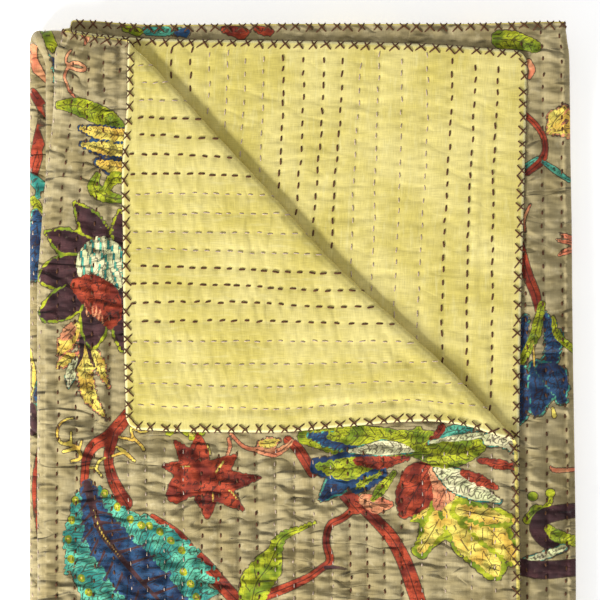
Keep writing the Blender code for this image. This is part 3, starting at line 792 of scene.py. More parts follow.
def rounded_path(points, steps=4):
    """A smooth path through a few points."""
    points = [2 * points[0] - points[1], *points, 2 * points[-1] - points[-2]]
    path = []
    for a, b, c, d in zip(points[:-3], points[1:-2], points[2:-1], points[3:]):
        for n in range(steps):
            t = n / steps
            bend = (2 * a - 5 * b + 4 * c - d) * t**2 + (3 * b - a - 3 * c + d) * t**3
            path.append(0.5 * (2 * b + (c - a) * t + bend))
    return np.array([*path, points[-2]])


# Veins and midribs as shares of their pitch.
VEIN_LEAN = 0.9
VEIN_SPREAD = 0.74
MIDRIB = 0.16


def veins_drawn(side, along, pitch):
    """A leaf's drawn lines: its midrib and the side veins that lean off it."""
    veins = ((along - VEIN_LEAN * np.abs(side)) / pitch) % 1.0 - 0.5
    return np.where(np.abs(side) < MIDRIB * pitch, side, veins * pitch * VEIN_SPREAD)


def scales_drawn(side, along, pitch):
    """Rows of overlapping scales: their outlines, and how far across each one."""
    row = np.floor(along / pitch)
    across = (side / pitch + 0.5 * (row % 2)) % 1.0 - 0.5
    outline = (along / pitch - row - 0.92 + 2.4 * across**2) * pitch * 0.8
    return np.where(np.abs(across) > 0.46, 0.0, outline), across * pitch


def print_shape(design, style, points, halves):
    """Prints one leaf, petal or stem along its spine: a rim of one ink round a body of
    another, with teeth, veins or scales as its style has them."""
    rim_ink, rim, ink, teeth, veins, scales = STYLES[style]
    path = rounded_path(points)
    middle = path.mean(0)
    reach = np.hypot(*(path - middle).T).max() + max(halves) + FAR
    found, x, y = design.near(middle, reach)
    if not len(found):
        return
    widths = np.interp(np.linspace(0, 1, len(path)), np.linspace(0, 1, len(halves)), halves)
    widths = widths * (FULLER if teeth else SLIMMER if style == "antler" else 1.0)
    inside, side, along = along_spine(x, y, path - middle, widths)
    if teeth:
        inside = inside + teeth * (0.3 - 0.6 * ((along - 0.5 * np.abs(side)) / teeth % 1.0))
    lines = veins_drawn(side, along, veins) if veins else None
    if rim:
        design.lay(found, rim_ink, inside)
        inside = inside - rim
    if scales:
        lines, across = scales_drawn(side, along, scales)
    design.lay(found, ink, inside, lines)
    if scales and rim_ink != ink:
        part = np.minimum(inside, across)
        light = part > 0
        design.lay(found[light], rim_ink, part[light], lines[light])


FULLER = 1.22
SLIMMER = 0.75
# columns: style: rim ink, rim, ink, teeth, vein pitch, scale pitch (millimetres)
STYLES = {
    "branch": ("rust", 0.0, "rust", 0.0, 13.0, 0.0),
    "antler": ("yellow", 0.0, "yellow", 0.0, 0.0, 0.0),
    "tendril": ("peach", 0.0, "peach", 0.0, 0.0, 0.0),
    "stamen": ("yellow", 0.0, "yellow", 0.0, 0.0, 0.0),
    "bead": ("peach", 0.0, "peach", 0.0, 0.0, 0.0),
    "berry": ("lime", 0.0, "lime", 0.0, 0.0, 0.0),
    "dark": ("purple", 0.0, "purple", 0.0, 0.0, 0.0),
    "dark line": ("purple", 0.0, "purple", 0.0, 0.0, 0.0),
    "dark teal": ("teal", 0.0, "teal", 0.0, 5.0, 0.0),
    "dark petal": ("lime", 1.5, "purple", 1.8, 0.0, 0.0),
    "pale scales": ("teal", 0.0, "cream", 2.0, 0.0, 5.2),
    "red scales": ("rust", 0.0, "rust", 2.0, 0.0, 5.0),
    "flame petal": ("peach", 0.8, "yellow", 2.8, 6.0, 0.0),
    "pale flame": ("teal", 0.6, "cream", 2.4, 5.5, 0.0),
    "peach petal": ("peach", 0.0, "peach", 1.2, 7.0, 0.0),
    "star petal": ("rust", 0.0, "rust", 1.8, 0.0, 4.6),
    "feather": ("lime", 0.0, "lime", 3.2, 9.0, 0.0),
    "lime leaf": ("lime", 0.0, "lime", 1.6, 5.4, 0.0),
    "lime curl": ("lime", 0.0, "lime", 1.6, 7.0, 0.0),
    "fringed leaf": ("navy", 2.8, "lime", 3.0, 6.0, 0.0),
    "navy leaf": ("teal", 0.9, "navy", 3.0, 5.0, 0.0),
    "palm": ("lime", 2.6, "yellow", 3.6, 9.0, 0.0),
    "rust leaf": ("rust", 0.0, "rust", 2.0, 6.0, 0.0),
    "striped leaf": ("teal", 0.9, "cream", 1.6, 4.6, 0.0),
    "cream leaf": ("teal", 0.7, "cream", 1.2, 5.0, 0.0),
    "dotted petal": ("navy", 1.2, "yellow", 2.2, 5.0, 0.0),
    "plume lobe": ("teal", 0.0, "teal", 4.4, 4.6, 0.0),
    "plume field": ("navy", 0.0, "navy", 4.0, 8.0, 0.0),
}
# The print's motifs, each shape by the spine that it is drawn along, from its root to
# its tip, and by its half-widths there. Where they are is on the top ply, in millimetres.
# columns: style, spine (u, v in turn), half-widths
MOTIFS = {
    "dark flower": (
        ("dark petal", (246, 135, 248, 123, 249, 109), (3, 5.6, 5.4, 1.6)),
        ("dark petal", (257, 136, 266, 121, 280, 105), (5, 7.4, 7, 1.6)),
        ("dark petal", (265, 134, 281, 130, 298, 123), (5, 7.2, 7, 1.6)),
        ("dark petal", (270, 144, 285, 147, 299, 151), (6, 9, 8.6, 3)),
        ("dark petal", (270, 158, 283, 166, 295, 173), (5, 8.2, 8.4, 5)),
        ("dark petal", (249, 175, 248, 185, 246, 195), (4, 4.4, 2.4)),
        ("dark petal", (266, 168, 265, 180, 266, 193), (6, 8, 7, 2.4)),
        ("dark", (249, 117, 247, 154, 247, 182), (2.6, 2.2, 2.6)),
        ("pale scales", (262, 135, 260, 145, 256, 157), (7, 14, 12, 4)),
        ("red scales", (277, 155, 265, 160, 256, 170, 254, 181), (3, 8, 9.5, 7, 2)),
        ("bead", (271, 167, 269, 175), (0.5, 0.7)),
        ("bead", (267, 167, 265, 175), (0.5, 0.7)),
        ("bead", (264, 168, 262, 177), (0.5, 0.7)),
        ("bead", (261, 171, 259, 179), (0.5, 0.7)),
    ),
    "flame flower": (
        ("flame petal", (275, 179, 279, 185, 283, 191, 288, 198), (1.4, 4.8, 4.6, 1.2)),
        ("peach petal", (278, 182, 282, 186, 286, 189), (1.4, 3, 0.8)),
        ("flame petal", (277, 200, 283, 202, 289, 207), (2.5, 3.6, 1)),
        ("pale flame", (276, 202, 280, 210, 282, 220), (2.2, 3.2, 0.6)),
        ("flame petal", (266, 195, 262, 205, 255, 220), (2, 3.8, 0.6)),
        ("flame petal", (272, 194, 271, 208, 268, 224, 257, 239), (2.6, 4.6, 4.4, 0.6)),
        ("dark line", (273, 189, 273, 199, 277, 208), (1.6, 1.2, 0.4)),
        ("dark line", (269, 192, 267, 201, 262, 210), (1.4, 1.1, 0.4)),
    ),
    "branches": (
        ("branch",
            (243, 236, 249, 243, 256, 250, 265, 255, 270, 263, 271, 271, 272, 279),
            (3.8, 4.2, 3.4, 2.6, 2.3)),
        ("branch", (253, 250, 256, 263, 254, 274, 250, 283, 245, 291), (3.4, 2.8, 3.6, 4)),
        ("branch",
            (228, 300, 215, 310, 206, 321, 197, 329, 187, 340, 174, 353, 164, 356),
            (2, 4.6, 4.6, 4, 3.4)),
        ("antler", (278, 238, 283, 239, 288, 243, 289, 249, 286, 254, 280, 253), (0.7, 1, 1)),
        ("antler", (280, 255, 280, 247), (1.1, 0.7)),
        ("antler", (286, 254, 280, 255, 276, 257, 274, 263, 280, 265), (1, 1.4, 1)),
        ("antler", (275, 258, 273, 252), (1, 0.7)),
        ("antler", (276, 257, 285, 259), (1, 1.2)),
        ("antler", (230, 246, 235, 247, 241, 244, 240, 250, 235, 255, 233, 258), (0.8, 1, 1.2)),
        ("antler", (240, 252, 249, 250), (1, 1)),
        ("antler", (251, 256, 246, 259, 239, 265), (0.8, 1.6, 1)),
        ("antler", (245, 259, 254, 262), (1.2, 0.8)),
        ("antler", (268, 269, 264, 270, 260, 275), (1, 1, 0.7)),
        ("antler", (264, 270, 262, 265, 258, 263), (1, 0.9)),
        ("branch", (143, 252, 137, 257, 132, 265, 128, 272), (2.6, 3.2, 3)),
        ("branch",
            (110, 282, 103, 288, 97, 294, 90, 301, 80, 312, 72, 327, 66, 344, 63, 353),
            (3, 3.2, 3.4, 4, 4.6, 4.4)),
        ("branch",
            (101, 293, 109, 300, 117, 304, 120, 311, 120, 318, 118, 327, 124, 332, 131, 337,
             137, 340, 146, 344, 160, 349, 169, 351), (1.8, 2.1, 1.9, 2.2, 2, 2.4, 2.8, 3)),
        ("dark line", (121, 331, 115, 331, 108, 332), (1.2, 0.8, 0.3)),
        ("tendril", (179, 247, 173, 254, 168, 257, 161, 258), (0.8, 1.2)),
        ("tendril", (180, 251, 179, 256, 181, 262), (0.8, 1, 0.7)),
        ("peach petal", (162, 258, 152, 260, 145, 257, 140, 252), (1.4, 2, 1.4, 0.6)),
        ("flame petal", (161, 254, 155, 254, 148, 252), (1.6, 3.2, 1)),
    ),
    "star flower": (
        ("star petal", (198, 272, 205, 263, 213, 253), (4, 5, 0.8)),
        ("star petal", (198, 272, 198, 260, 199, 248), (4, 5, 0.8)),
        ("star petal", (198, 273, 210, 270, 221, 268), (4, 4, 0.8)),
        ("star petal", (198, 274, 207, 279, 213, 285), (5, 7, 5)),
        ("star petal", (197, 274, 194, 287, 194, 300), (6, 6, 0.8)),
        ("star petal", (193, 271, 184, 268, 176, 262), (5, 4.5, 1)),
        ("star petal", (193, 273, 178, 277, 161, 275), (5, 5, 0.8)),
        ("star petal", (193, 274, 183, 285, 172, 295), (5, 5.4, 0.8)),
        ("stamen", (210, 268, 204, 268), (0.5, 0.6)),
        ("stamen", (183, 265, 188, 272), (0.6, 0.6)),
        ("stamen", (180, 283, 177, 286, 175, 289), (0.6, 0.5)),
        ("stamen", (193, 255, 191, 261), (0.6, 0.5)),
        ("stamen", (190, 285, 190, 290), (0.6, 0.5)),
    ),
    "feather leaf": (
        ("feather",
            (167, 353, 164, 341, 157, 331, 152, 321, 150, 315, 144, 310, 136, 307, 127, 303),
            (7, 8, 7.2, 3.6, 2.8, 1.9, 1.3, 0.4)),
    ),
    "cluster": (
        ("branch", (125, 265, 115, 279, 101, 295), (2, 3)),
        ("lime leaf", (92, 255, 110, 251, 132, 250), (7, 9, 4)),
        ("lime leaf", (92, 258, 72, 255, 50, 252), (6, 7.4, 4)),
        ("navy leaf", (98, 272, 113, 279, 121, 287), (4, 6, 3)),
        ("navy leaf", (101, 253, 115, 252, 130, 249), (5, 5, 1.6)),
        ("fringed leaf", (87, 265, 107, 270, 125, 268), (5, 8.6, 4)),
        ("fringed leaf", (85, 272, 97, 279, 103, 283), (3, 4.4, 2)),
        ("lime leaf", (64, 256, 84, 251, 105, 249, 117, 250), (2.5, 5.2, 5, 1.6)),
        ("palm", (49, 292, 57, 296, 65, 301), (4, 4.6, 2.2)),
        ("palm", (46, 293, 53, 307, 62, 321), (6, 7, 4)),
        ("palm", (40, 295, 28, 312, 16, 332), (9, 13, 6)),
        ("palm", (34, 296, 17, 309, 3, 327), (7, 9, 4)),
        ("palm", (37, 295, 20, 299, 4, 302), (5, 6, 3)),
        ("rust leaf", (57, 272, 63, 282, 72, 298), (5, 10.5, 9, 2.4)),
        ("peach petal", (51, 272, 46, 282, 50, 292), (4, 6.5, 3)),
        ("striped leaf", (50, 270, 34, 280, 12, 290), (3, 6.6, 5.6, 1.6)),
        ("rust leaf", (35, 272, 24, 277, 13, 282), (1.6, 3, 1)),
        ("cream leaf", (64, 258, 84, 257, 105, 259), (2, 4.4, 1.2)),
        ("rust leaf", (68, 263, 85, 266, 100, 265), (1, 3.4, 2.2)),
        ("peach petal", (96, 289, 89, 292, 80, 292), (3, 4.6, 1.6)),
        ("lime leaf", (77, 272, 86, 283, 91, 289), (1.2, 2.6, 1.2)),
        ("dark teal", (50, 249, 39, 247, 27, 246), (2, 3.4, 1)),
        ("rust leaf", (57, 255, 50, 249, 47, 245), (1, 2, 2)),
        ("cream leaf", (55, 254, 39, 252, 21, 250), (1.4, 2.6, 1.6)),
        ("lime leaf", (63, 258, 68, 252, 81, 246), (1.4, 3.4, 1)),
        ("lime leaf", (63, 258, 63, 252, 62, 245), (1.4, 3.6, 1.4)),
        ("lime leaf", (63, 261, 40, 261, 18, 254), (2, 7, 5.6, 1.4)),
        ("cream leaf", (18, 253, 8, 252, 2, 259), (3, 4.6, 1.4)),
        ("rust leaf", (25, 264, 12, 267, 1, 269), (1, 2.6, 1.2)),
    ),
    "top corner": (
        ("tendril",
            (291, 11, 294, 16, 293, 20, 288, 22, 281, 22, 279, 20, 284, 18, 290, 19, 293, 23,
             295, 28, 293, 32, 291, 36, 287, 39), (0.7, 0.9, 0.9, 0.9, 0.8)),
        ("tendril", (286, 0, 282, 2, 282, 6), (1.6, 2.2, 0.6)),
        ("lime leaf",
            (299, 46, 293, 45, 283, 45, 270, 48, 261, 50, 251, 54), (1.5, 3, 4.6, 5.2, 4.6, 1.8)),
        ("dotted petal", (245, 59, 265, 60, 281, 58), (4, 4.6, 1.8)),
        ("dotted petal", (245, 69, 264, 69, 279, 68), (4, 4.4, 1.8)),
        ("dotted petal", (244, 80, 258, 80, 268, 78), (4, 4.2, 1.8)),
        ("lime curl", (266, 86, 268, 94, 260, 99, 245, 101), (1.6, 3.6, 3.4, 1.6)),
        ("lime curl", (259, 94, 254, 87, 246, 87), (2.2, 3.4, 2.6)),
    ),
    "third ply": (
        ("branch",
            (28, 54, 20, 61, 15, 68, 14, 76, 17, 82, 26, 89), (1.4, 1.6, 1.7, 1.7, 2.6, 1.4)),
        ("dark teal", (16, 82, 8, 87, -1, 93), (0.9, 1.8, 1)),
        ("dark teal", (19, 80, 27, 85), (0.8, 1.4)),
        ("flame petal", (13, 66, 6, 63, 0, 67), (1, 2.6, 1.6)),
        ("flame petal", (12, 65, 7, 58, 1, 53), (1, 4.6, 3)),
        ("flame petal", (11, 66, -7, 61, -2, 56), (1, 4.8, 3)),
        ("tendril", (24, 107, 28, 116, 27, 123), (0.6, 0.9, 0.5)),
        ("tendril", (24, 24, 22, 29, 24, 34), (1.6, 2, 0.8)),
        ("peach petal", (-2, 133, -6, 129, 5, 124), (1, 1.8, 0.5)),
        ("peach petal", (-2, 134, -7, 131, 7, 128), (1, 1.6, 0.5)),
        ("peach petal", (-2, 134, 2, 135, 6, 137), (1, 1.5, 0.5)),
        ("branch", (30, 131, 26, 148, 21, 161, 19, 172), (2, 3, 3, 1.8)),
        ("lime leaf", (42, 10, 32, 11, 19, 15), (4.4, 4.6, 3)),
        ("navy leaf", (27, 175, 29, 185, 30, 199), (2, 3.6, 2)),
        ("navy leaf", (16, 173, 10, 187, 12, 205), (2, 5, 4)),
        ("navy leaf", (31, 207, 29, 225, 31, 240), (3, 6, 2)),
        ("navy leaf", (22, 205, 16, 216, 21, 233), (3, 9, 4)),
        ("navy leaf", (19, 207, 9, 213, 5, 227), (3, 7, 3)),
        ("lime leaf", (10, 175, 7, 187, -10, 202), (0.8, 2, 1)),
        ("lime leaf", (17, 167, 21, 185, 30, 203), (1.6, 2.8, 2)),
        ("stamen", (23, 190, 22, 206), (0.6, 0.5)),
        ("stamen", (11, 232, 10, 237), (0.7, 1.4)),
        ("lime leaf", (28, 302, 22, 296, 18, 297, 13, 289), (2, 3, 2, 1)),
        ("berry", (24, 287, 24.6, 287), (2.8, 2.8)),
        ("berry", (13, 285, 13.6, 285), (2.6, 2.6)),
        ("dark", (-9, 295, 16, 299, 21, 307, 15, 316, 5, 319), (4, 5, 5.4, 4, 3)),
        ("lime leaf", (15, 307, 9, 312, -8, 317), (2, 3.4, 2)),
        ("cream leaf", (32, 327, 18, 324, 5, 319), (1, 2.4, 2)),
        ("dark", (32, 331, 18, 333, -8, 331), (5, 5.4, 5)),
        ("tendril", (13, 269, 9, 271, -9, 270), (0.7, 1.3, 0.8)),
    ),
    "top strip": (
        ("rust leaf", (224, 3, 211, 6), (2, 3)),
        ("rust leaf", (203, 3, 194, 5), (1.6, 2.4)),
        ("dark teal", (276, 4, 262, 4), (2.4, 3)),
        ("navy leaf", (258, 6, 249, 5), (2, 3)),
        ("lime leaf", (290, 3, 280, 5), (1.6, 2)),
    ),
    "bottom strip": (
        ("tendril", (289, -2, 298, 2, 300, 12, 297, 21, 290, 27, 294, 36), (2.2, 2.6, 2.6, 2)),
        ("branch", (300, 35, 293, 47, 295, 64, 301, 86), (2.4, 3.4, 4, 4)),
        ("dark teal", (302, 88, 294, 95, 298, 104), (3, 4, 2)),
        ("lime leaf", (300, 102, 293, 114), (2, 4)),
        ("navy leaf", (296, 112, 298, 130, 299, 150), (4, 5.4, 3)),
        ("antler", (302, 196, 299, 212, 301, 228), (1.4, 1.8, 1.2)),
        ("navy leaf", (295, 206, 297, 222, 298, 238), (1, 1.8, 1)),
        ("dark", (301, 232, 300, 246), (3, 3.4)),
        ("branch", (295, 252, 299, 282, 296, 312), (0.9, 1.3, 0.9)),
    ),
    "middle strip": (
        ("lime leaf", (313, 8, 314, -3), (2.6, 3.2)),
        ("navy leaf", (313, -6, 312, -15), (3, 2.2)),
        ("navy leaf", (313, -17, 312, -38), (2.4, 1.2)),
    ),
}
PLUME_SPINE = ((270, 279), (266, 295), (261, 309), (252, 321), (240, 335), (226, 350), (211, 364))
PLUME_FIELD_HALVES = (3.0, 6.0, 8.5, 10.5, 12.0, 12.0, 9.0)
# Half-widths as shares of the lobe's width.
PLUME_LOBE_HALVES = (0.16, 0.19, 0.15)
PLUME_ARM_HALVES = (0.13, 0.1)
# Places on a lobe, from its root, as shares of its width.
# columns: place: sideways off the spine, onward along it
PLUME_PLACES = {
    "bend": (0.6, 0.2),
    "tip": (1.0, 0.55),
    "middle": (0.42, 0.12),
    "near eye": (0.6, 0.42 * 0.6),
    "far eye": (0.8, 0.42 * 0.8),
}
# columns: share of the spine, width of the lobe
PLUME_LOBES = (
    (0.05, 12.0), (0.13, 19.0), (0.21, 26.0), (0.3, 31.0), (0.39, 34.0), (0.48, 37.0), (0.57, 39.0),
    (0.66, 40.0), (0.75, 39.0), (0.84, 35.0), (0.93, 29.0),
)
REPEAT_MOTIFS = ("branches", "plume", "feather leaf", "star flower", "flame flower", "dark flower",
                 "cluster", "top corner")
# The rest of the repeat, under the turned corner: the same motifs placed again.
# columns: motif, from u, from v, to u, to v, degrees, flip
PLACED_AGAIN = (
    ("dark flower", 262, 150, 60, 70, 150, 1),
    ("star flower", 195, 274, 150, 60, 40, 1),
    ("feather leaf", 120, 325, 196, 120, 150, -1),
    ("flame flower", 270, 205, 40, 190, 70, -1),
    ("cluster", 90, 280, 150, 170, 200, -1),
    ("top corner", 270, 60, 216, 30, 20, -1),
)
REPEAT_WIDTH = 318.0
REPEAT_LENGTH = 392.0
HALF_DROP = 196.0
REPEAT_MARGIN = 30.0
# What shows beside the free edges and on the folds' narrow strips, printed instead of
# the repeat in a window of the cloth.
# columns: motif, window from u, to u, from v, to v, placed from u, from v
EDGE_MOTIFS = (
    ("third ply", THIRD_AT - 6.0, THIRD_AT + 60.0, -1.0, 380.0, THIRD_AT, 0.0),
    ("top strip", THIRD_AT + 60.0, THIRD_AT + 324.0, -1.0, 16.0, THIRD_AT, 0.0),
    ("bottom strip", 284.0, 318.0, BOTTOM_SLAB_AT - 9.0, LENGTH, 0.0, BOTTOM_SLAB_AT - 7.0),
    ("middle strip", 304.0, 324.0, UPPER_TURN_AT - 90.0, UPPER_TURN_AT + 9.0, 0.0, UPPER_TURN_AT),
)


def plume_shapes():
    """A large feathery leaf: teal lobes with eyes down both sides of a dark field."""
    path = rounded_path(np.array(PLUME_SPINE, float))
    shapes = []
    for part in ("lobe", "field", "eye"):
        if part == "field":
            shapes.append(("plume field", path[::3], PLUME_FIELD_HALVES))
        for share, width in PLUME_LOBES:
            n = int(share * (len(path) - 1))
            root = path[n]
            ahead = (path[n + 1] - root) / np.hypot(*(path[n + 1] - root))
            for hand in (-1, 1):
                out = np.array([-ahead[1], ahead[0]]) * hand
                spots = {
                    place: root + out * width * sideways + ahead * width * onward
                    for place, (sideways, onward) in PLUME_PLACES.items()
                }
                if part == "lobe":
                    halves = (*[half * width for half in PLUME_LOBE_HALVES], 0.4)
                    shapes.append(("plume lobe", (root, spots["bend"], spots["tip"]), halves))
                elif part == "field":
                    middle = spots["middle"]
                    halves = (*[half * width for half in PLUME_ARM_HALVES], 0.6)
                    shapes.append(("plume field", (root, middle), halves))
                    shapes.append(("dark line", (root - ahead * 3, middle), (1.1, 0.4)))
                else:
                    eye = spots["far eye" if n % 2 else "near eye"]
                    shapes.append(("berry", (eye, eye + ahead * 1.4), (2.4, 1.8)))
                    shapes.append(("stamen", (eye, eye + ahead * 0.7), (0.9, 0.7)))
    shapes.append(("dark", path[:-3], (2.4, 2.2, 1.6, 0.8)))
    shapes.append(("antler", path[4:14], (0.3, 0.8, 0.3)))
    return shapes


def motif_shapes(name):
    if name == "plume":
        return plume_shapes()
    return [(style, np.reshape(spine, (-1, 2)), halves) for style, spine, halves in MOTIFS[name]]


def print_motif(design, shapes, origin, place, degrees, flip):
    """Prints a motif moved and turned from its own place to another."""
    c, s = math.cos(math.radians(degrees)), math.sin(math.radians(degrees))
    turn = np.array([[c, s], [-s * flip, c * flip]])
    for style, spine, halves in shapes:
        points = (np.asarray(spine, float) - origin) @ turn + place
        print_shape(design, style, points, halves)


def printed(u, v):
    """The whole quilt's print: the repeat in half-drop columns, then what shows beside
    the free edges and on the folds' narrow strips."""
    design = Print(u, v)
    shapes = {name: motif_shapes(name) for name in REPEAT_MOTIFS}
    here = np.zeros(2)
    for column in range(-1, int(WIDTH / REPEAT_WIDTH) + 2):
        drop = HALF_DROP * (column % 2)
        for turn in range(-1, int(LENGTH / REPEAT_LENGTH) + 2):
            shift = np.array([column * REPEAT_WIDTH, turn * REPEAT_LENGTH + drop])
            design.look(
                shift[0] - REPEAT_MARGIN,
                shift[0] + REPEAT_WIDTH + REPEAT_MARGIN,
                shift[1] - REPEAT_MARGIN,
                shift[1] + REPEAT_LENGTH + REPEAT_MARGIN,
            )
            if not len(design.window):
                continue
            for name, from_u, from_v, to_u, to_v, degrees, flip in PLACED_AGAIN:
                place = np.array([to_u, to_v]) + shift
                print_motif(design, shapes[name], (from_u, from_v), place, degrees, flip)
            for name in REPEAT_MOTIFS:
                print_motif(design, shapes[name], here, shift, 0, 1)
    for name, low_u, high_u, low_v, high_v, from_u, from_v in EDGE_MOTIFS:
        design.look(low_u, high_u, low_v, high_v)
        for field in design.inks.values():
            field[design.window] = -FAR
        design.lines[design.window] = FAR
        print_motif(design, motif_shapes(name), here, np.array([from_u, from_v]), 0, 1)
    return design


# Materials.
def linear(colour):
    """An sRGB colour from 0 to 255 as linear red, green, blue and alpha."""
    values = [c / 255 for c in colour]
    return (*[c / 12.92 if c <= 0.04045 else ((c + 0.055) / 1.055) ** 2.4 for c in values], 1.0)


class Shade:
    """Short calls that build a material's nodes."""

    def __init__(self, name):
        self.material = bpy.data.materials.new(name)
        self.material.use_nodes = True
        self.tree = self.material.node_tree

    def put(self, kind, inputs, output=0, **settings):
        """Adds a node, fills or links its sockets and gives one of its outputs."""
        node = self.tree.nodes.new(kind)
        for name, value in settings.items():
            setattr(node, name, value)
        for key, value in inputs.items():
            self.fill(node.inputs[key], value)
        return node.outputs[output]

    def fill(self, socket, value):
        if isinstance(value, bpy.types.NodeSocket):
            self.tree.links.new(value, socket)
        else:
            socket.default_value = value

    def finished(self, inputs):
        """Wires up the surface and gives the material."""
        shader = self.tree.nodes["Principled BSDF"]
        for name, value in inputs.items():
            self.fill(shader.inputs[name], value)
        return self.material

    def math(self, operation, a, b=0.0, c=0.0):
        return self.put("ShaderNodeMath", {0: a, 1: b, 2: c}, operation=operation)

    def mix(self, share, a, b, blend="MIX"):
        inputs = {0: share, 6: a, 7: b}
        return self.put("ShaderNodeMix", inputs, 2, data_type="RGBA", blend_type=blend)

    def dimmed(self, colour, share):
        grey = self.put("ShaderNodeCombineColor", {0: share, 1: share, 2: share})
        return self.mix(1.0, colour, grey, "MULTIPLY")

    def field(self, name):
        return self.put("ShaderNodeAttribute", {}, 2, attribute_name=name)

    def flat(self):
        return self.put("ShaderNodeAttribute", {}, 1, attribute_name="flat")

    def ramp(self, value, low, high, to_low=0.0, to_high=1.0):
        inputs = {0: value, 1: low, 2: high, 3: to_low, 4: to_high}
        return self.put("ShaderNodeMapRange", inputs, interpolation_type="SMOOTHSTEP")

    def scaled(self, vector, scale):
        inputs = {0: vector, 1: scale}
        return self.put("ShaderNodeVectorMath", inputs, operation="MULTIPLY")

    def noise(self, vector, scale, detail=2.0, roughness=0.5):
        """Smooth hills, as fine in all directions or, by three scales, in each."""
        if isinstance(scale, tuple):
            vector = self.scaled(vector, scale)
            scale = 1.0
        inputs = {"Vector": vector, "Scale": scale, "Detail": detail, "Roughness": roughness}
        return self.put("ShaderNodeTexNoise", inputs)

    def layered(self, colour, layers):
        """Lays colours over one another, each strongest on the hills of its own noise."""
        for scale, detail, roughness, low, high, least, most, over in layers:
            hills = self.noise(self.flat(), scale, detail, roughness)
            colour = self.mix(self.ramp(hills, low, high, least, most), colour, linear(over))
        return colour

    def wave(self, vector, scale, direction):
        inputs = {"Vector": vector, "Scale": scale}
        return self.put("ShaderNodeTexWave", inputs, 1, bands_direction=direction)

    def bump(self, height, distance, strength=1.0, normal=None):
        inputs = {"Height": height, "Distance": distance, "Strength": strength}
        if normal is not None:
            inputs["Normal"] = normal
        return self.put("ShaderNodeBump", inputs)


# How fine each noise is: across the width, along the length and out of the cloth.
WARP_SCALE = (2.6, 0.12, 1.0)
WEFT_SCALE = (0.12, 2.6, 1.0)
CREASE_SCALE = (0.065, 0.17, 1.0)
FOLD_SCALE = (0.022, 0.06, 1.0)
PATCH_SCALE = (0.03, 0.03, 1.0)
STROKE_SCALE = (0.5, 0.9, 1.0)
STREAK_SCALE = (0.35, 0.05, 1.0)
THREADS_PER_WAVE = 0.45
WEAVE_BUMP = 0.00006
SLUB_BUMP = 0.00012
CRINKLE_BUMP = 0.0046
FOLD_BUMP = 0.0026
FOLD_SPREAD = 0.075
# How much painted shade darkens the colour along the fold lines, at full crinkle.
PAINTED_FOLD_SHADE = 0.19
# How much each cotton crinkles; this also scales its painted shade along the folds.
PRINT_CRINKLE = 0.8
PLAIN_CRINKLE = 0.12


def weave(shade, colour, crinkle):
    """Gives cotton its threads, slubs, folds and crinkles, with painted shade along the fold lines,
    and finishes the material.
    """
    flat = shade.flat()
    warp = shade.noise(flat, WARP_SCALE)
    weft = shade.noise(flat, WEFT_SCALE)
    slubs = shade.math("MULTIPLY", shade.math("ADD", warp, weft), 0.5)
    threads = shade.math(
        "MULTIPLY",
        shade.wave(flat, THREADS_PER_WAVE, "X"),
        shade.wave(flat, THREADS_PER_WAVE, "Y"),
    )
    light = shade.ramp(slubs, 0.36, 0.64, 0.86, 1.1)
    colour = shade.dimmed(colour, light)
    creases = shade.noise(flat, CREASE_SCALE, 1.1, 0.4)
    wander = shade.noise(flat, FOLD_SCALE, 1.6)
    folded = shade.math("ABSOLUTE", shade.math("SUBTRACT", wander, 0.5))
    folded = shade.ramp(folded, 0.0, FOLD_SPREAD)
    patches = shade.noise(flat, PATCH_SCALE, 1.0)
    folded = shade.math("MAXIMUM", folded, shade.ramp(patches, 0.44, 0.58))
    # Painted shade: the colour is darkened along the fold lines, in the valleys of the folds.
    painted_fold_shade = shade.ramp(folded, 0.0, 0.7, 1.0 - PAINTED_FOLD_SHADE * crinkle, 1.0)
    colour = shade.dimmed(colour, painted_fold_shade)
    normal = shade.bump(folded, FOLD_BUMP, crinkle)
    normal = shade.bump(creases, CRINKLE_BUMP, crinkle, normal)
    normal = shade.bump(slubs, SLUB_BUMP, 0.6, normal)
    normal = shade.bump(threads, WEAVE_BUMP, 0.5, normal)
    rough = shade.ramp(slubs, 0.3, 0.7, 0.92, 0.8)
    return shade.finished({
        "Base Color": colour,
        "Roughness": rough,
        "Normal": normal,
        "Sheen Weight": 0.12,
        "Sheen Roughness": 0.5,
        "Specular IOR Level": 0.2,
    })


TAUPE = (176, 161, 119)
TAUPE_WORN = (200, 186, 146)
TAUPE_DEEP = (154, 138, 94)
YELLOW = (225, 210, 132)
YELLOW_DEEP = (205, 189, 99)
YELLOW_WORN = (236, 225, 158)
RIM_YELLOW = (226, 208, 110)
RIM_CREAM = (240, 231, 176)
DRAWN_LINE = (52, 32, 26)
# Colours laid one over another.
# columns: noise scale, detail, roughness, hills from, to, least of the colour, most, colour
GROUND_LAYERS = (
    (0.035, 4.0, 0.6, 0.35, 0.65, 0.0, 1.0, TAUPE),
    (0.16, 3.0, 0.6, 0.55, 0.72, 0.0, 0.5, TAUPE_WORN),
)
FADED_LAYERS = (
    (0.3, 4.0, 0.7, 0.6, 0.75, 0.0, 0.22, TAUPE_WORN),
)
PLAIN_LAYERS = (
    (0.02, 5.0, 0.6, 0.35, 0.65, 0.0, 1.0, YELLOW),
    (STREAK_SCALE, 3.0, 0.6, 0.5, 0.75, 0.0, 0.4, YELLOW_WORN),
    (0.5, 2.0, 0.5, 0.7, 0.8, 0.0, 0.25, TAUPE_DEEP),
)
OUTLINE_REACH = 0.55
LINE_REACH = 0.32
INK_EDGE = 0.22
SHAKE = 0.9
SHAKE_SCALE = 0.9
TONE_SCALE = 0.085


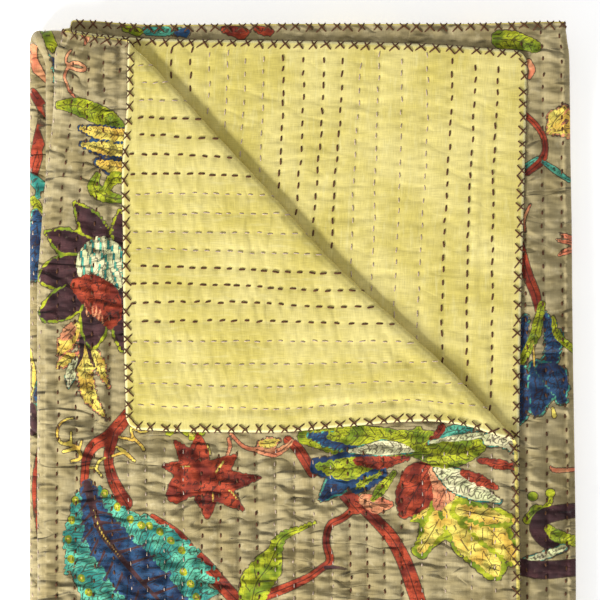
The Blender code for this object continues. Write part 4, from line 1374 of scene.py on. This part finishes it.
def printed_cotton():
    """Taupe cotton with a large printed design, drawn lines and a little wear."""
    shade = Shade("printed_cotton")
    flat = shade.flat()
    colour = shade.layered(linear(TAUPE_DEEP), GROUND_LAYERS)
    shake = shade.math("MULTIPLY_ADD", shade.noise(flat, SHAKE_SCALE), SHAKE, -SHAKE / 2)
    inked = [(name, shade.math("ADD", shade.field("ink_" + name), shake)) for name in INKS]
    nearest = inked[0][1]
    for _, field in inked[1:]:
        nearest = shade.math("MAXIMUM", nearest, field)
    outlined = shade.ramp(nearest, -OUTLINE_REACH - INK_EDGE, -OUTLINE_REACH + INK_EDGE, 0.0, 0.85)
    colour = shade.mix(outlined, colour, linear(DRAWN_LINE))
    strokes = shade.noise(flat, STROKE_SCALE, 3.0, 0.6)
    tone = shade.noise(flat, TONE_SCALE)
    for name, field in inked:
        light, deep = (linear(colour) for colour in INKS[name])
        toned = shade.mix(shade.ramp(tone, 0.38, 0.6), deep, light)
        toned = shade.mix(shade.ramp(strokes, 0.36, 0.52, 0.5, 0.0), toned, deep)
        colour = shade.mix(shade.ramp(field, -INK_EDGE, INK_EDGE, 0.0, 0.95), colour, toned)
    steadier = shade.math("MULTIPLY", shake, 0.4)
    lines = shade.math("ABSOLUTE", shade.math("ADD", shade.field("drawn_lines"), steadier))
    lined = shade.ramp(lines, LINE_REACH - INK_EDGE, LINE_REACH + INK_EDGE, 0.8, 0.0)
    inside = shade.ramp(nearest, 0.0, 0.4)
    colour = shade.mix(shade.math("MULTIPLY", lined, inside), colour, linear(DRAWN_LINE))
    colour = shade.layered(colour, FADED_LAYERS)
    rim = shade.ramp(shade.field("from_edge"), 0.9, 1.6, 1.0, 0.0)
    colour = shade.mix(rim, colour, linear(RIM_YELLOW))
    return weave(shade, colour, PRINT_CRINKLE)


def plain_cotton():
    """Pale yellow-green cotton, dyed a little unevenly."""
    shade = Shade("plain_cotton")
    colour = shade.layered(linear(YELLOW_DEEP), PLAIN_LAYERS)
    rim = shade.ramp(shade.field("from_edge"), 0.6, 2.2, 0.75, 0.0)
    colour = shade.mix(rim, colour, linear(RIM_CREAM))
    return weave(shade, colour, PLAIN_CRINKLE)


THREAD_DEEP = 0.72
THREAD_GRAIN = 900.0
TWIST_SCALE = 2600.0
TWIST_BUMP = 0.0002


def thread(name, colour):
    """Matt sewing thread, twisted and a little uneven in colour."""
    shade = Shade(name)
    place = shade.put("ShaderNodeTexCoord", {}, 3)
    uneven = shade.noise(place, THREAD_GRAIN, 3.0, 0.6)
    deep = linear([c * THREAD_DEEP for c in colour])
    mixed = shade.mix(shade.ramp(uneven, 0.35, 0.65), deep, linear(colour))
    twist = shade.noise(place, TWIST_SCALE)
    return shade.finished({
        "Base Color": mixed,
        "Roughness": shade.ramp(uneven, 0.3, 0.7, 0.9, 0.75),
        "Normal": shade.bump(twist, TWIST_BUMP, 0.6),
        "Sheen Weight": 0.15,
        "Specular IOR Level": 0.15,
    })


# Sewing.
BROWN_THREAD = (102, 64, 36)
PALE_THREAD = (214, 190, 168)
RUNNING_RADIUS = 0.62
PALE_RADIUS = 0.34
CROSS_RADIUS = 0.54
CROSS_PITCH = 8.9
CROSS_DEPTH = 4.9
CROSS_REACH = 3.3
CROSS_SIDES = 5
RUNNING_SIDES = 6
EDGE_SEED = 99
RUNNING_SEED = 70
PRINT_SIDE_SHARE = 0.6
ALONG_JITTER = 0.45
ACROSS_JITTER = 0.28
ROW_SWAY = 0.9
ROW_SWAY_LENGTH = 37.0
RUNNING_RANGE = (0.78, 1.15)
RUNNING_LEAN = 0.09
EDGE_START = 8.0
EDGE_END = 6.0
CROSS_JITTER = 0.6
CROSS_REACH_RANGE = (0.8, 1.15)
CROSS_DEPTH_RANGE = (0.75, 1.1)
CROSS_LEAN = 0.5
ROWS_TO_BAND = 4
# columns: share of the stitch's length, lift off the cloth, share of the radius
RUNNING_STITCH = (
    (-0.5, -0.55, 0.55), (-0.36, 0.12, 0.95), (0.0, 0.3, 1.0), (0.36, 0.12, 0.95),
    (0.5, -0.55, 0.55),
)


def tubes(paths, radii, reference, sides):
    """Round tubes along many paths of equal length, in flat coordinates."""
    count, points, _ = paths.shape
    tangent = np.gradient(paths, axis=1)
    tangent /= np.linalg.norm(tangent, axis=2, keepdims=True)
    first = np.cross(tangent, reference)
    first /= np.linalg.norm(first, axis=2, keepdims=True)
    second = np.cross(tangent, first)
    turn = np.arange(sides) * 2 * np.pi / sides
    ring = (
        first[:, :, None, :] * np.cos(turn)[None, None, :, None]
        + second[:, :, None, :] * np.sin(turn)[None, None, :, None]
    )
    radii = np.broadcast_to(radii, (count, points))
    places = paths[:, :, None, :] + ring * radii[:, :, None, None]
    faces = []
    for n in range(count):
        base = n * points * sides
        for i in range(points - 1):
            for j in range(sides):
                a = base + i * sides + j
                b = base + i * sides + (j + 1) % sides
                faces.append((a, b, b + sides, a + sides))
        faces.append(tuple(base + j for j in range(sides))[::-1])
        faces.append(tuple(base + (points - 1) * sides + j for j in range(sides)))
    return places.reshape(-1, 3), faces


def is_pale(row):
    """The rows are sewn in bands of one thread colour."""
    return (row - 1) // ROWS_TO_BAND % 2 == 0


def shown_on_face(u, v):
    """Where the printed side can be seen at all, from any side."""
    top = (u < BOTTOM_AT) & (v < MIDDLE_AT) & ((u > UNDER_CORNER_U) | (v > UNDER_CORNER_V))
    strip = (u > RIGHT_FOLD_AT) & (u < THIRD_AT + STRIP_WIDTH - 6) & (v < MIDDLE_AT)
    noses = ((u > WIDE_FOLD_AT) & (u < BOTTOM_AT)) | ((u > RIGHT_FOLD_AT) & (u < THIRD_AT))
    under = (u > BOTTOM_AT) & (u < RIGHT_FOLD_AT) & (v > UPPER_TURN_AT)
    return top | strip | noses | under


def shown_on_back(u, v):
    """Where the plain side can be seen at all."""
    corner = (u < WIDE_FOLD_AT) & (v < UNDER_CORNER_V) & (past_corner_fold(u, v) > 1.0)
    reveal = (u > SECOND_AT) & (v < UNDER_CORNER_V) & (past_reveal(u, v) > 2.0)
    return corner | reveal


def running_stitches(side, pale):
    """The running stitches of one thread colour on one side of the quilt."""
    dice = np.random.default_rng(RUNNING_SEED + side + 5 * pale)
    shown = shown_on_face if side > 0 else shown_on_back
    centres, lengths = [], []
    for row in range(1, ROW_TOTAL):
        u = float(row_place(row))
        if is_pale(row) != pale or not 4.0 < u < WIDTH - 4.0:
            continue
        at = ROW_FIRST[row] + STITCH_LENGTH / 2 + (0 if side > 0 else ROW_STEP[row] / 2)
        places = np.arange(at, LENGTH - 5, ROW_STEP[row])
        places = places + dice.normal(0, ALONG_JITTER, len(places))
        across = u + dice.normal(0, ACROSS_JITTER, len(places))
        across = across + ROW_SWAY * np.sin(places / ROW_SWAY_LENGTH + row)
        keep = shown(across, places) & (places > 5)
        centres.append(np.stack([across[keep], places[keep]], 1))
        lengths.append(dice.uniform(*RUNNING_RANGE, keep.sum()))
    centres = np.concatenate(centres)
    usual = STITCH_LENGTH if side < 0 else STITCH_LENGTH * PRINT_SIDE_SHARE
    lengths = np.concatenate(lengths) * usual
    shares, lift, thickness = np.array(RUNNING_STITCH).T
    lean = dice.normal(0, RUNNING_LEAN, len(centres))
    paths = np.zeros((len(centres), len(shares), 3))
    paths[:, :, 0] = centres[:, :1] + lean[:, None] * lengths[:, None] * shares
    paths[:, :, 1] = centres[:, 1:] + lengths[:, None] * shares
    height = surface(paths[:, :, 0].ravel(), paths[:, :, 1].ravel(), side)
    paths[:, :, 2] = side * (height.reshape(paths.shape[:2]) + lift)
    radii = (PALE_RADIUS if pale else RUNNING_RADIUS) * thickness
    return tubes(paths, radii[None, :], (0.0, 0.0, 1.0), RUNNING_SIDES)


# The quilt's four edges.
# columns: start, direction along, direction inwards, length
EDGE_WALKS = (
    ((0.0, 0.0), (1.0, 0.0), (0.0, 1.0), WIDTH),
    ((0.0, LENGTH), (1.0, 0.0), (0.0, -1.0), WIDTH),
    ((0.0, 0.0), (0.0, 1.0), (1.0, 0.0), LENGTH),
    ((WIDTH, 0.0), (0.0, 1.0), (-1.0, 0.0), LENGTH),
)
# One strand of a crossed stitch: down into the cloth, over the rim and back.
# columns: share along from the crossing, inset, lift off the cloth, side, radius
STRAND = (
    (-1.0, 1.0, -0.5, 1, 0.6), (-0.86, 0.92, 0.3, 1, 0.9), (-0.3, 0.56, 0.5, 1, 1.0),
    (0.3, 0.2, 0.45, 1, 1.0), (0.62, -0.07, 0.0, 0, 1.0), (0.3, 0.2, 0.45, -1, 1.0),
    (-0.3, 0.56, 0.5, -1, 1.0), (-0.86, 0.92, 0.3, -1, 0.9), (-1.0, 1.0, -0.5, -1, 0.6),
)


def edge_stitches():
    """The crossed stitches that bind the quilt's edge, over the rim and back."""
    dice = np.random.default_rng(EDGE_SEED)
    radii = CROSS_RADIUS * np.array([row[4] for row in STRAND])
    all_places, all_faces, total = [], [], 0
    for start, along, inward, length in EDGE_WALKS:
        at = np.arange(EDGE_START, length - EDGE_END, CROSS_PITCH)
        at = at + dice.normal(0, CROSS_JITTER, len(at))
        for hand in (-1, 1):
            reach = CROSS_REACH * dice.uniform(*CROSS_REACH_RANGE, len(at))
            depth = CROSS_DEPTH * dice.uniform(*CROSS_DEPTH_RANGE, len(at))
            lean = dice.normal(0, CROSS_LEAN, len(at))
            paths = np.zeros((len(at), len(STRAND), 3))
            for n, (share, inset, lift, side, _) in enumerate(STRAND):
                s = at + hand * reach * share + lean * inset
                d = depth * inset
                u = start[0] + along[0] * s + inward[0] * d
                v = start[1] + along[1] * s + inward[1] * d
                if side:
                    w = side * (surface(u, v, side) + lift)
                else:
                    w = np.zeros(len(at))
                paths[:, n] = np.stack([u, v, w], 1)
            places, faces = tubes(paths, radii[None, :], (along[0], along[1], 0.0), CROSS_SIDES)
            all_faces += [tuple(p + total for p in face) for face in faces]
            all_places.append(places)
            total += len(places)
    return np.concatenate(all_places), all_faces


def add_sewing(name, flat, faces, material, slot):
    """A piece of sewing, laid into the bundle with its cloth."""
    made = add_mesh(name, laid(flat), faces, material)
    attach(made, "root")
    return made


def add_cloth(name, side, fineness, material):
    """One cloth as a folded sheet, its outer side puckered by the quilting. On the print
    a rim of the plain side's cotton shows along the quilt's sides, and less at its ends."""
    u, v, faces = flat_cloth(fineness)
    if side < 0:
        faces = [face[::-1] for face in faces]
    w = side * surface(u, v, side)
    made = add_mesh(name, laid(np.stack([u, v, w], 1)), faces, material)
    keep_place(made.data, u, v)
    sides = np.minimum(u, WIDTH - u) - (SIDE_RIM if side > 0 else 0.0)
    ends = np.minimum(v, LENGTH - v) + (END_RIM if side > 0 else 0.0)
    keep_field(made.data, "from_edge", np.minimum(sides, ends))
    if side > 0:
        design = printed(u, v)
        for ink, field in design.inks.items():
            keep_field(made.data, "ink_" + ink, field)
        keep_field(made.data, "drawn_lines", design.lines)
    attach(made, "root")
    return made


# Studio.
VIEW_CENTRE = (-0.0016, 0.1287)
VIEW_HEIGHT = 0.034
VIEW_WIDTH = 0.3732
CAMERA_RISE = 6.0
SENSOR = 36.0
CLIP = (0.1, 20.0)


def add_camera():
    """Looks straight down with a long lens, framed as the photograph is."""
    data = bpy.data.cameras.new("camera")
    data.sensor_width = SENSOR
    data.lens = SENSOR * CAMERA_RISE / VIEW_WIDTH
    data.clip_start, data.clip_end = CLIP
    camera = bpy.data.objects.new("camera", data)
    camera.location = (*VIEW_CENTRE, VIEW_HEIGHT + CAMERA_RISE)
    bpy.context.scene.collection.objects.link(camera)
    bpy.context.scene.camera = camera


# columns: name, place, size, watts
LIGHTS = (
    ("key", (-2.2, -2.6, 1.9), 1.4, 244.0),
    ("fill", (1.0, 1.4, 2.4), 2.0, 12.0),
)
FLOOR_SIZE = 6.0
FLOOR_COLOUR = (0.97, 0.97, 0.97, 1.0)
FLOOR_GLOW = 0.5
FLOOR_ROUGHNESS = 0.9
FLOOR_Z = -0.001
SKY_COLOUR = (1.0, 1.0, 1.0, 1.0)
SKY_STRENGTH = 0.42


def add_studio():
    """A pale floor, a soft key light from the lower left, a fill and an even sky."""
    for name, place, size, watts in LIGHTS:
        data = bpy.data.lights.new(name, "AREA")
        data.size = size
        data.energy = watts
        light = bpy.data.objects.new(name, data)
        light.location = place
        aim = Vector((*VIEW_CENTRE, 0.0)) - Vector(place)
        light.rotation_euler = aim.to_track_quat("-Z", "Y").to_euler()
        bpy.context.scene.collection.objects.link(light)
    world = bpy.data.worlds.new("studio")
    world.use_nodes = True
    sky = world.node_tree.nodes["Background"].inputs
    sky["Color"].default_value = SKY_COLOUR
    sky["Strength"].default_value = SKY_STRENGTH
    bpy.context.scene.world = world
    half = FLOOR_SIZE / 2
    corners = np.array([(-half, -half, 0), (half, -half, 0), (half, half, 0), (-half, half, 0)])
    pale = Shade("floor").finished({
        "Base Color": FLOOR_COLOUR,
        "Roughness": FLOOR_ROUGHNESS,
        "Emission Color": FLOOR_COLOUR,
        "Emission Strength": FLOOR_GLOW,
    })
    floor = add_mesh("floor", corners, [(0, 1, 2, 3)], pale, False)
    floor.location.z = FLOOR_Z
    bpy.context.scene.view_settings.view_transform = "Standard"


def main():
    add_camera()
    add_studio()
    brown = thread("brown_thread", BROWN_THREAD)
    pale = thread("pale_thread", PALE_THREAD)
    face = add_cloth("printed_cloth", 1, face_fineness, printed_cotton())
    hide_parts("face_cloth")
    back = add_cloth("plain_cloth", -1, back_fineness, plain_cotton())
    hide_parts("back_cloth")
    on_face = [
        add_sewing("brown_rows_on_print", *running_stitches(1, False), brown, "brown_thread"),
        add_sewing("pale_rows_on_print", *running_stitches(1, True), pale, "pale_thread"),
        add_sewing("edge_stitches", *edge_stitches(), brown, "brown_thread"),
    ]
    on_back = [
        add_sewing("brown_rows_on_plain", *running_stitches(-1, False), brown, "brown_thread"),
        add_sewing("pale_rows_on_plain", *running_stitches(-1, True), pale, "pale_thread"),
    ]


main()
